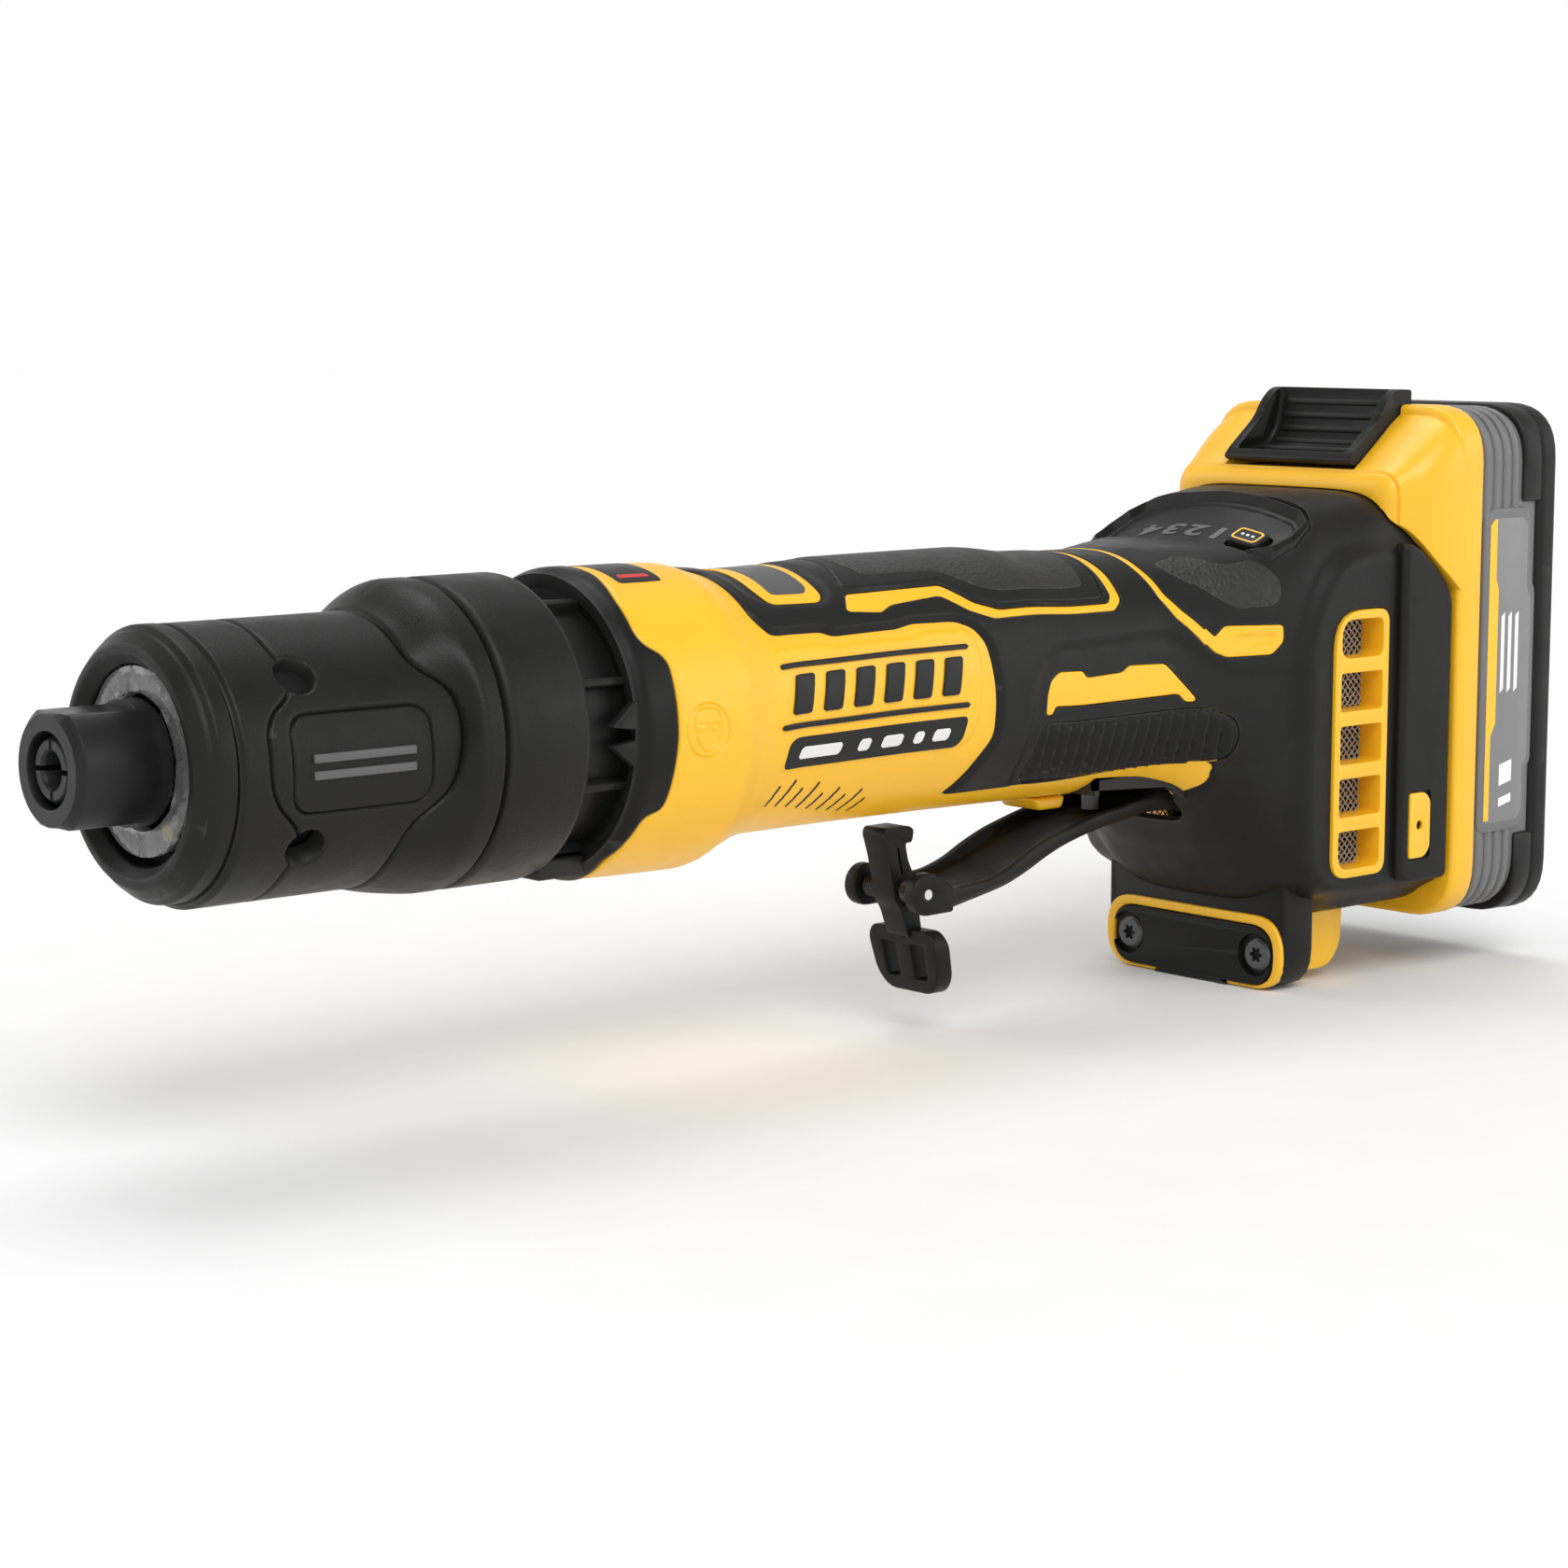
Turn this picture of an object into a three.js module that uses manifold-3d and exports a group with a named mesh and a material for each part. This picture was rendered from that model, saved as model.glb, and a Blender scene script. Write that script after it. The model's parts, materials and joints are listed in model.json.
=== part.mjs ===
// Cordless straight die grinder with a paddle lever and a slide-on battery pack.
//
// Tool frame while building (millimetres): the X axis is the spindle axis, with the collet at the
// -X end and the battery at the +X end. Z is up and Y is across. x = 0 is the groove behind the
// nose ring. The whole tool is lifted and centred at the end, so that the origin lies at the
// bottom centre of its bounding box.

import * as THREE from 'three';
import { mergeVertices } from 'three/addons/utils/BufferGeometryUtils.js';
import Module from 'manifold-3d';

const wasm = await Module();
wasm.setup();

// ---------------------------------------------------------------- driving dimensions

const ROUND = 28;              // facets round a large turned piece
const SMALL_ROUND = 16;        // facets round a small turned piece
const RUNNING_GAP = 0.1;       // radial clearance on turning and pinned pieces
const FIT_GAP = 0.3;           // gap between pieces that touch

const NOSE_RING_RADIUS = 25.2;
const BOOT_RADIUS = 25.8;
const BOOT_DROP = 1.5;         // the boot hangs a little below the spindle axis
const COLLAR_RADIUS = 29.8;
const COLLAR_START = 55.5;
const COLLAR_END = 74.5;
const HOUSING_START = 85.4;
const HOUSING_END = 322;
const SHAFT_RADIUS = 8;
const TAIL_RADIUS = 4;
const BORE_RADIUS = 3.2;       // collet bore for a 1/4 in shank
const NUT_FRONT = -23.5;
const NUT_RADIUS = 11.5;

const SHELL_WALL = 2.4;
const OVERMOLD_THICKNESS = 1.5;

const FOOT_HALF = 37;          // half width of the foot at the battery
const BATTERY_HALF = 38.2;
const BATTERY_TOP = 57.2;
const BATTERY_BOTTOM = -62.5;
const BATTERY_CORNER = 12;
const CASE_BACK = 331;
const CAN_BACK = 351;
const BUMPER_BACK = 359;

const PADDLE_PIVOT = { x: 268, z: -31 };
const LOCK_PIVOT = { x: 179.5, z: -43.5 };
const PADDLE_HALF = 11;

const BASE_HEIGHT = 75.2;      // height of the spindle axis above the sole of the leg
const MIDDLE_X = (NUT_FRONT + BUMPER_BACK) / 2;

// ---------------------------------------------------------------- materials

const finish = (color, roughness, metalness = 0) =>
    () => new THREE.MeshStandardMaterial({ color, roughness, metalness });

const yellowPlastic = finish(0xf5b500, 0.45);
const blackPlastic = finish(0x1c1c1d, 0.55);
const blackRubber = finish(0x262627, 0.8);
const greyPlastic = finish(0x77797b, 0.5);
const clearPlastic = finish(0xd8dcdf, 0.15);
const darkSteel = finish(0x2a2a2c, 0.4, 0.8);
const brightSteel = finish(0xb4b6b8, 0.3, 1);
const castAluminium = finish(0x9a9c9e, 0.5, 0.9);
const brass = finish(0xb8923c, 0.35, 1);
const copper = finish(0xa8613a, 0.4, 1);
const boardGreen = finish(0x1d4a2c, 0.5);
const pouchSilver = finish(0xa9adb2, 0.4, 0.6);

// ---------------------------------------------------------------- geometry helpers

function signedVolume(geometry) {
    const position = geometry.attributes.position;
    const index = geometry.index;
    const a = new THREE.Vector3();
    const b = new THREE.Vector3();
    const c = new THREE.Vector3();
    let total = 0;
    for (let i = 0; i < index.count; i += 3) {
        a.fromBufferAttribute(position, index.getX(i));
        b.fromBufferAttribute(position, index.getX(i + 1));
        c.fromBufferAttribute(position, index.getX(i + 2));
        total += a.dot(b.cross(c)) / 6;
    }
    return total;
}

// Merges shared corners, drops collapsed triangles and turns the faces outwards.
function cleaned(source) {
    let geometry = source.clone();
    geometry.deleteAttribute('normal');
    geometry.deleteAttribute('uv');
    geometry = mergeVertices(geometry, 1e-4);
    const kept = [];
    for (let i = 0; i < geometry.index.count; i += 3) {
        const [a, b, c] = [0, 1, 2].map((k) => geometry.index.getX(i + k));
        if (a !== b && b !== c && c !== a) kept.push(a, b, c);
    }
    geometry.setIndex(kept);
    if (signedVolume(geometry) < 0) {
        for (let i = 0; i < kept.length; i += 3) [kept[i], kept[i + 1]] = [kept[i + 1], kept[i]];
        geometry.setIndex(kept);
    }
    return geometry;
}

function toSolid(source) {
    const geometry = cleaned(source);
    return new wasm.Manifold(new wasm.Mesh({
        numProp: 3,
        vertProperties: new Float32Array(geometry.attributes.position.array),
        triVerts: new Uint32Array(geometry.index.array),
    }));
}

function toGeometry(solid) {
    const mesh = solid.getMesh();
    const geometry = new THREE.BufferGeometry();
    geometry.setAttribute('position', new THREE.BufferAttribute(mesh.vertProperties.slice(), 3));
    geometry.setIndex(Array.from(mesh.triVerts));
    geometry.computeVertexNormals();
    return geometry;
}

const joined = (first, ...others) => others.reduce((sum, next) => sum.add(next), first);
const cut = (first, ...tools) => tools.reduce((rest, tool) => rest.subtract(tool), first);

function box(x0, x1, y0, y1, z0, z1) {
    const geometry = new THREE.BoxGeometry(x1 - x0, y1 - y0, z1 - z0);
    geometry.translate((x0 + x1) / 2, (y0 + y1) / 2, (z0 + z1) / 2);
    return toSolid(geometry);
}

// A turned piece about the X axis: profile points are [x, radius] and run once round the section.
function turned(profile, segments = ROUND, centreZ = 0) {
    const points = profile.map(([x, radius]) => new THREE.Vector2(radius, x));
    const first = profile[0];
    const last = profile[profile.length - 1];
    const open = first[1] > 0 || last[1] > 0;
    if (open) points.push(new THREE.Vector2(first[1], first[0]));
    const geometry = new THREE.LatheGeometry(points, segments);
    geometry.rotateZ(-Math.PI / 2);
    geometry.translate(0, 0, centreZ);
    return toSolid(geometry);
}

const ring = (x0, x1, outer, inner, segments = ROUND, centreZ = 0) =>
    turned([[x0, inner], [x0, outer], [x1, outer], [x1, inner]], segments, centreZ);

// Corner radius of a faceted hole whose flats clear a round piece of the given radius.
const clearing = (radius, segments) => (radius + RUNNING_GAP / 2) / Math.cos(Math.PI / segments);

const rod = (x0, x1, radius, segments = SMALL_ROUND) =>
    turned([[x0, 0], [x0, radius], [x1, radius], [x1, 0]], segments);

// Straight round bar between two points along Y or Z.
function barAlongY(x, z, y0, y1, radius, segments = SMALL_ROUND) {
    const geometry = new THREE.CylinderGeometry(radius, radius, y1 - y0, segments);
    geometry.translate(x, (y0 + y1) / 2, z);
    return toSolid(geometry);
}

function barAlongZ(x, y, z0, z1, radius, segments = SMALL_ROUND) {
    const geometry = new THREE.CylinderGeometry(radius, radius, z1 - z0, segments);
    geometry.rotateX(Math.PI / 2);
    geometry.translate(x, y, (z0 + z1) / 2);
    return toSolid(geometry);
}

// Side outline of [x, z] points, pulled across from y0 to y1.
function sideOutline(points, y0, y1) {
    const shape = new THREE.Shape(points.map(([x, z]) => new THREE.Vector2(x, z)));
    const geometry = new THREE.ExtrudeGeometry(shape, { depth: y1 - y0, bevelEnabled: false });
    geometry.rotateX(Math.PI / 2);
    geometry.translate(0, y1, 0);
    return toSolid(geometry);
}

// Rounded rectangle seen along X, pulled from x0 to x1.
function roundedBlock(x0, x1, y0, y1, z0, z1, corner, steps = 4) {
    const shape = new THREE.Shape();
    shape.moveTo(y0 + corner, z0);
    shape.lineTo(y1 - corner, z0);
    shape.absarc(y1 - corner, z0 + corner, corner, -Math.PI / 2, 0, false);
    shape.lineTo(y1, z1 - corner);
    shape.absarc(y1 - corner, z1 - corner, corner, 0, Math.PI / 2, false);
    shape.lineTo(y0 + corner, z1);
    shape.absarc(y0 + corner, z1 - corner, corner, Math.PI / 2, Math.PI, false);
    shape.lineTo(y0, z0 + corner);
    shape.absarc(y0 + corner, z0 + corner, corner, Math.PI, Math.PI * 1.5, false);
    const options = { depth: x1 - x0, bevelEnabled: false, curveSegments: steps };
    const geometry = new THREE.ExtrudeGeometry(shape, options);
    // The shape's own x and y become Y and Z, and its depth becomes X.
    geometry.applyMatrix4(new THREE.Matrix4().set(
        0, 0, 1, x0,
        1, 0, 0, 0,
        0, 1, 0, 0,
        0, 0, 0, 1,
    ));
    return toSolid(geometry);
}

// Closed skin through rounded sections. A station is [x, top, bottom, half width, squareness].
function lofted(stations, inset = 0, around = 20) {
    const vertices = [];
    const index = [];
    for (const [x, top, bottom, half, squareness] of stations) {
        const middle = (top + bottom) / 2;
        const height = (top - bottom) / 2 - inset;
        for (let k = 0; k < around; k += 1) {
            const angle = (2 * Math.PI * (k + 0.5)) / around;
            const across = Math.cos(angle);
            const up = Math.sin(angle);
            const bend = (value) => Math.sign(value) * Math.abs(value) ** (2 / squareness);
            vertices.push(x, (half - inset) * bend(across), middle + height * bend(up));
        }
    }
    const rows = stations.length;
    for (let row = 0; row + 1 < rows; row += 1) {
        for (let k = 0; k < around; k += 1) {
            const next = (k + 1) % around;
            const [a, b] = [row * around + k, row * around + next];
            const [c, d] = [a + around, b + around];
            index.push(a, c, b, b, c, d);
        }
    }
    for (let k = 1; k + 1 < around; k += 1) {
        index.push(0, k, k + 1);
        const last = (rows - 1) * around;
        index.push(last, last + k + 1, last + k);
    }
    const geometry = new THREE.BufferGeometry();
    geometry.setAttribute('position', new THREE.Float32BufferAttribute(vertices, 3));
    geometry.setIndex(index);
    return toSolid(geometry);
}

// A coil spring's outline as a plain sleeve, because its wire is finer than the model's detail.
const sleeveAlongY = (x, z, y0, y1, outer, inner) =>
    cut(barAlongY(x, z, y0, y1, outer, 12), barAlongY(x, z, y0 - 1, y1 + 1, inner, 12));

const group = new THREE.Group();

function place(name, solid, material) {
    const mesh = new THREE.Mesh(toGeometry(solid), material());
    mesh.name = name;
    group.add(mesh);
}

// Places the -Y piece as NAME_right and its mirror image as NAME_left.
function placePair(name, solid, material) {
    place(`${name}_right`, solid, material);
    place(`${name}_left`, solid.mirror([0, 1, 0]), material);
}

const rightSide = (solid) => solid.intersect(box(-100, 400, -100, -FIT_GAP / 2, -120, 120));

// ---------------------------------------------------------------- spindle and collet

function buildSpindle() {
    const nose = -13;
    const shaft = turned([
        [nose, 5.0], [nose, 7.4], [4, 7.4], [4, SHAFT_RADIUS], [17, SHAFT_RADIUS],
        [17, 7], [74, 7], [74, 6], [98, 6], [98, TAIL_RADIUS], [154, TAIL_RADIUS],
        [154, 0], [12, 0], [12, 4.2], [3, 4.2],
    ], SMALL_ROUND);
    place('spindle_shaft', shaft, brightSteel);

    const colletFront = NUT_FRONT + 0.6;
    const sleeve = turned([
        [colletFront, BORE_RADIUS + 0.5], [colletFront, 6.6], [-14, 6.6], [-13.4, 4.7],
        [1.5, 3.95], [1.5, BORE_RADIUS], [colletFront + 0.6, BORE_RADIUS],
    ], SMALL_ROUND);
    const slitHalf = 0.45;
    const slitEnd = -3;
    const slits = [
        box(colletFront - 1, slitEnd, -10, 10, -slitHalf, slitHalf),
        box(colletFront - 1, slitEnd, -slitHalf, slitHalf, -10, 10),
    ];
    place('collet', cut(sleeve, ...slits), darkSteel);

    const body = turned([
        [NUT_FRONT, 6.9], [NUT_FRONT, 10.2], [NUT_FRONT + 1.3, NUT_RADIUS], [-4.6, NUT_RADIUS],
        [-4.6, 7.7], [-13.2, 7.7], [-14.6, 6.9],
    ], 24);
    const flat = 10.2;
    const flats = [1, -1].map((side) => box(
        NUT_FRONT - 1, -10, -20, 20,
        side > 0 ? flat : -20, side > 0 ? 20 : -flat,
    ));
    place('collet_nut', cut(body, ...flats), darkSteel);

    place('rotor_core', ring(101, 139, 12.4, clearing(TAIL_RADIUS, 20), 20), brightSteel);

    const hub = ring(77, 83, 9, clearing(6, SMALL_ROUND), SMALL_ROUND);
    const blade = (turn) => {
        const geometry = new THREE.BoxGeometry(6, 1.2, 8);
        geometry.rotateZ(0.5);
        geometry.translate(80, 0, 12);
        geometry.rotateX(turn);
        return toSolid(geometry);
    };
    const bladeCount = 8;
    const blades = Array.from({ length: bladeCount }, (_, k) => blade((2 * Math.PI * k) / bladeCount));
    place('cooling_fan', joined(hub, ...blades), blackPlastic);
}

// A ball bearing as its two races.
function buildBearing(name, x0, x1, bore, outer) {
    const race = (outer - bore) * 0.42;
    place(`${name}_inner_race`, ring(x0, x1, bore + race, clearing(bore, 20), 20), brightSteel);
    place(`${name}_outer_race`, ring(x0, x1, outer, outer - race, 20), brightSteel);
}

// ---------------------------------------------------------------- nose

function buildNose() {
    place('nose_ring', turned([
        [-5.4, 18.3], [-6.4, 19.4], [-7.7, 21.5], [-6.2, 24.2], [-3, NOSE_RING_RADIUS],
        [-0.3, NOSE_RING_RADIUS], [-0.3, 18.3],
    ], ROUND, -BOOT_DROP / 2), blackPlastic);
    place('led_lens', ring(-6, -4.4, 17.3, 12.4), clearPlastic);
    place('led_board', ring(-2.6, -1.2, 17, 12.4), boardGreen);
    place('led_chip', box(-4, -2.8, -9.5, -6.9, -13.3, -10.7), clearPlastic);

    const casting = turned([
        [0.2, 12.4], [0.2, 21.6], [53.5, 21.6], [53.5, 23.6], [74, 23.6], [74, 19.4], [96, 19.4],
        [96, 17.4], [17.4, 17.4], [4, 17.4], [4, 12.4],
    ]);
    const windowCount = 6;
    const airWindows = Array.from({ length: windowCount }, (_, k) => {
        const geometry = new THREE.BoxGeometry(6.5, 9, 12);
        geometry.translate(80, 0, 19);
        geometry.rotateX((2 * Math.PI * k) / windowCount);
        return toSolid(geometry);
    });
    place('nose_housing', cut(casting, ...airWindows), castAluminium);

    const sleeve = cut(
        turned([
            [0, 20], [0, 25.2], [0.8, BOOT_RADIUS], [40, BOOT_RADIUS], [46, 28.2],
            [49, COLLAR_RADIUS - 0.2], [53, COLLAR_RADIUS - 0.2], [55, 28.4], [55, 20],
        ], ROUND, -BOOT_DROP),
        rod(-1, 60, 21.9, ROUND),
        rod(53.2, 60, 23.9, ROUND),
    );
    const keyHoleX = 15.5;
    const keyHoles = [15.7, -15.3].map((z) => barAlongY(keyHoleX, z, -40, 40, 4.1, 12));
    place('nose_boot', cut(sleeve, ...keyHoles), blackRubber);

    place('front_collar', turned([
        [COLLAR_START, 24], [COLLAR_START, 28.6], [COLLAR_START + 0.8, COLLAR_RADIUS],
        [COLLAR_END - 0.8, COLLAR_RADIUS], [COLLAR_END, 29], [COLLAR_END, 24],
    ], 32), blackPlastic);

    const core = ring(COLLAR_END + FIT_GAP, HOUSING_START - FIT_GAP, 24.6, 22, ROUND);
    const finCount = 10;
    const fins = Array.from({ length: finCount }, (_, k) => {
        const geometry = new THREE.BoxGeometry(10, 2, 5.2);
        geometry.translate((COLLAR_END + HOUSING_START) / 2, 0, 26.2);
        geometry.rotateX((2 * Math.PI * (k + 0.5)) / finCount);
        return toSolid(geometry);
    });
    const coreWindows = Array.from({ length: finCount }, (_, k) => {
        const geometry = new THREE.BoxGeometry(5.5, 8, 8);
        geometry.translate((COLLAR_END + HOUSING_START) / 2, 0, 23);
        geometry.rotateX((2 * Math.PI * k) / finCount);
        return toSolid(geometry);
    });
    place('exhaust_ring', joined(cut(core, ...coreWindows), ...fins), blackPlastic);
}

// ---------------------------------------------------------------- motor

function buildMotor() {
    const slotCount = 6;
    const slots = Array.from({ length: slotCount }, (_, k) => {
        const geometry = new THREE.BoxGeometry(60, 6, 6.5);
        geometry.translate(120, 0, 16.5);
        geometry.rotateX((2 * Math.PI * k) / slotCount);
        return toSolid(geometry);
    });
    place('motor_stator', cut(ring(101, 139, 23, 13, 20), ...slots), brightSteel);
    const bars = Array.from({ length: slotCount }, (_, k) => {
        const geometry = new THREE.BoxGeometry(44, 5, 4.5);
        geometry.translate(120, 0, 17);
        geometry.rotateX((2 * Math.PI * k) / slotCount);
        return toSolid(geometry);
    });
    place('stator_windings', joined(
        ring(97.2, 100.7, 20.5, 14, 20), ring(139.3, 143, 20.5, 14, 20), ...bars,
    ), copper);
}

// ---------------------------------------------------------------- handle and foot housing

// x, top, bottom, half width, squareness
const HANDLE_STATIONS = [
    [HOUSING_START, 28.9, -29.2, 28.8, 2],
    [89, 29.8, -31.4, 29.8, 2],
    [112, 29.7, -31.8, 29.8, 2.05],
    [118, 28.6, -30, 28.8, 2.05],
    [132, 27.7, -27.7, 27.8, 2.05],
    [160, 28.4, -27.6, 27.3, 2.1],
    [196, 28.5, -27.9, 26.6, 2.15],
    [213, 26.9, -28.1, 26.3, 2.2],
    [236, 26.6, -28.4, 26.9, 2.3],
    [247, 27.2, -29.5, 28.2, 2.6],
    [257, 27.2, -34, 30, 3.1],
    [264.5, 27.6, -43.4, 31.5, 3.5],
    [275, 32.6, -55, 33.2, 3.6],
    [283, 36.8, -57.6, 33.9, 3.9],
    [290, 37.4, -59.5, 34.4, 4.2],
    [301, 38, -60, 34.8, 4.6],
    [304.5, 38, -60, FOOT_HALF, 5],
    [HOUSING_END, 38, -60, FOOT_HALF, 5],
];

const LEG = { x0: 276.6, x1: 286, half: 27.5, z0: -BASE_HEIGHT, z1: -50 };
const VENT = { x0: 281.6, x1: 300, z0: -48.6, z1: 12.2, depth: 31 };
const PANEL = { x0: 264, x1: 283, half: 25, thickness: 1.1 };
const BUTTON = { x: 271, y: -18.5, half: 4.6, top: 30.6, under: 25.4 };
const RAIL = { x0: 311, half: 20, z0: -38, z1: 38.5 };
const BLADE_YS = [-8, 8];      // the two battery terminals
const BLADE_SLOT = { x0: 158, x1: 186, half: 4.6, z0: -40, z1: -19.5 };

// x and z of the screws that hold the two housing halves together
const HOUSING_SCREWS = [[158, 17], [158, -17], [222, 18], [290, 25]];

// Side outline of the region that the soft black cover takes up.
const COVER_OUTLINE = [
    [123.5, 60], [123.5, 16.4], [176, 17], [183.5, 9], [183.5, -3], [177, -11], [168.7, -20.6],
    [196, -20.7], [246, -22.6], [262, -24], [262, -90], [340, -90], [340, 60],
];

function buildHousing() {
    const outer = lofted(HANDLE_STATIONS);
    const cavityStations = HANDLE_STATIONS.filter(([x]) => x > 86 && x < 302);
    cavityStations.unshift([84, 29, -30, 28.8, 2]);
    cavityStations.push([308, 38, -60, 34.6, 4.6]);
    const cavity = lofted(cavityStations, OVERMOLD_THICKNESS + SHELL_WALL);
    const leg = roundedBlock(LEG.x0, LEG.x1, -LEG.half, LEG.half, LEG.z0, LEG.z1 + 10, 6);

    const coverRegion = sideOutline(COVER_OUTLINE, -60, 60);
    const shrunk = lofted(HANDLE_STATIONS, OVERMOLD_THICKNESS);
    const shell = joined(outer.subtract(coverRegion), shrunk.intersect(coverRegion), leg);

    const railPocket = box(RAIL.x0 - 0.4, 330, -RAIL.half - 0.5, RAIL.half + 0.5, RAIL.z0 - 1, 60);
    const sideVents = box(VENT.x0 - 0.3, VENT.x1 + 0.3, -60, 60, VENT.z0 - 0.3, VENT.z1 + 0.3);
    const buttonWell = barAlongZ(BUTTON.x, BUTTON.y, 15, 60, BUTTON.half + 1.6);
    const leverMouth = sideOutline([
        [228, -40], [228, -25], [274, -22], [276, -28], [276, -36], [262, -46],
    ], -PADDLE_HALF - 1.5, PADDLE_HALF + 1.5);
    const terminalWindow = box(307, 312, -15, 15, -31, -15);
    const webs = [
        ring(145.5, 154.5, 25, clearing(11, 20), 20),
        ring(101, 105, 25.5, clearing(23, 20), 20),
        ring(89, 96.5, 28.6, clearing(19.4, ROUND), ROUND),
    ];
    const bosses = [-1, 1].map((side) => box(
        262, 274,
        side > 0 ? PADDLE_HALF + 1.5 : -PADDLE_HALF - 4.5,
        side > 0 ? PADDLE_HALF + 4.5 : -PADDLE_HALF - 1.5,
        -40, -24,
    ));
    const pinHole = barAlongY(PADDLE_PIVOT.x, PADDLE_PIVOT.z, -16.2, 16.2, 2 + RUNNING_GAP, 12);
    const screwHoles = HOUSING_SCREWS.map(([x, z]) => barAlongY(x, z, -60, 60, 2.3, 8));

    const hollow = cut(shell, cavity);
    const inside = lofted(HANDLE_STATIONS, OVERMOLD_THICKNESS + 0.8);
    const ribs = joined(...webs, ...bosses).intersect(inside);
    const body = cut(
        joined(hollow, ribs),
        railPocket, sideVents, buttonWell, leverMouth, terminalWindow, pinHole, ...screwHoles,
        box(BLADE_SLOT.x0, BLADE_SLOT.x1, -BLADE_SLOT.half, BLADE_SLOT.half, BLADE_SLOT.z0, BLADE_SLOT.z1),
    );
    const right = rightSide(body).decompose().sort((a, b) => b.volume() - a.volume())[0];
    placePair('housing', right, yellowPlastic);

    const panelBox = (gap) => box(
        PANEL.x0 - gap, PANEL.x1 + gap, -PANEL.half - gap, PANEL.half + gap, 15, 60,
    );
    const padBox = (gap) => box(140.3 - gap, 213.7 + gap, -13 - gap, 13 + gap, 20, 60);
    const padGap = padBox(FIT_GAP);
    const coverInside = lofted(HANDLE_STATIONS, OVERMOLD_THICKNESS - FIT_GAP);
    const coverSkin = cut(outer.intersect(sideOutline(
        COVER_OUTLINE.map(([x, z]) => [x + FIT_GAP, z + FIT_GAP]), -60, 60,
    )), coverInside);
    const legGap = roundedBlock(
        LEG.x0 - FIT_GAP, LEG.x1 + FIT_GAP, -LEG.half - FIT_GAP, LEG.half + FIT_GAP,
        LEG.z0, LEG.z1 + 10.3, 6,
    );
    const cover = cut(
        coverSkin, legGap, panelBox(FIT_GAP), sideVents, buttonWell, leverMouth,
        railPocket, padGap,
    );
    const coverRight = rightSide(cover).decompose().sort((a, b) => b.volume() - a.volume())[0];
    placePair('grip_cover', coverRight, blackRubber);

    const pad = outer.intersect(padBox(0)).subtract(coverInside);
    place('top_grip_pad', pad, blackRubber);

    const panel = cut(
        outer.intersect(panelBox(0)),
        lofted(HANDLE_STATIONS, PANEL.thickness),
        barAlongZ(BUTTON.x, BUTTON.y, 15, 60, BUTTON.half + 0.5),
    );
    place('speed_panel', panel, blackPlastic);

    const cap = barAlongZ(BUTTON.x, BUTTON.y, BUTTON.under, BUTTON.top, BUTTON.half);
    const stemLength = 4.3;
    const stem = barAlongZ(BUTTON.x, BUTTON.y, BUTTON.under - stemLength, BUTTON.under, 1.6, 10);
    place('speed_button', joined(cap, stem), blackRubber);
}

function buildFasteners() {
    HOUSING_SCREWS.forEach(([x, z], k) => {
        const shank = barAlongY(x, z, -10, 10, 1.6, 8);
        const head = barAlongY(x, z, 10, 12.4, 2.1, 8);
        place(`housing_screw_${k + 1}`, joined(shank, head), darkSteel);
    });
    const plateZ = -67;
    const plateHalf = 24.4;
    const plate = roundedBlock(LEG.x0 - 2.4, LEG.x0 - FIT_GAP, -plateHalf, plateHalf,
        plateZ - 7.8, plateZ + 7.8, 7.6, 5);
    const screwY = 19.7;
    const sinkRadius = 4.6;
    const sinks = [-1, 1].map((side) =>
        turned([[LEG.x0 - 3, 0], [LEG.x0 - 3, sinkRadius], [LEG.x0, sinkRadius], [LEG.x0, 0]], 12)
            .translate([0, side * screwY, plateZ]));
    place('leg_plate', cut(plate, ...sinks), blackPlastic);
    [-1, 1].forEach((side) => {
        const name = side < 0 ? 'plate_screw_right' : 'plate_screw_left';
        const head = turned([
            [LEG.x0 - 2, 0], [LEG.x0 - 2, 4.1], [LEG.x0 - 0.4, 4.1], [LEG.x0 - 0.4, 0],
        ], 12);
        place(name, head.translate([0, side * screwY, plateZ]), darkSteel);
    });
    place('toe_block', roundedBlock(LEG.x1 + FIT_GAP, 302, -21, 21, -71.5, -60.6, 4), yellowPlastic);
}

function buildVents() {
    const frameOuter = roundedBlockSide(VENT.x0, VENT.x1, VENT.z0, VENT.z1, 5, -34.2, -VENT.depth);
    const openings = 5;
    const rim = 2.2;
    const bar = 3.4;
    const clear = VENT.z1 - VENT.z0 - 2 * rim;
    const pitch = (clear + bar) / openings;
    const holes = Array.from({ length: openings }, (_, k) => {
        const low = VENT.z0 + rim + k * pitch;
        return box(VENT.x0 + rim, VENT.x1 - rim, -60, 0, low, low + pitch - bar);
    });
    placePair('vent_frame', cut(frameOuter, ...holes), yellowPlastic);
    const mesh = box(VENT.x0 + 0.6, VENT.x1 - 0.6, -VENT.depth + 0.3, -VENT.depth + 1,
        VENT.z0 + 0.6, VENT.z1 - 0.6);
    placePair('vent_mesh', mesh, darkSteel);
}

// Rounded rectangle seen along Y.
function roundedBlockSide(x0, x1, z0, z1, corner, y0, y1) {
    const points = [];
    const corners = [
        [x1 - corner, z1 - corner, 0], [x0 + corner, z1 - corner, 1],
        [x0 + corner, z0 + corner, 2], [x1 - corner, z0 + corner, 3],
    ];
    const steps = 4;
    for (const [centreX, centreZ, quarter] of corners) {
        for (let k = 0; k <= steps; k += 1) {
            const angle = (Math.PI / 2) * (quarter + k / steps);
            points.push([centreX + corner * Math.cos(angle), centreZ + corner * Math.sin(angle)]);
        }
    }
    return sideOutline(points, y0, y1);
}

// ---------------------------------------------------------------- electronics in the handle

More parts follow.
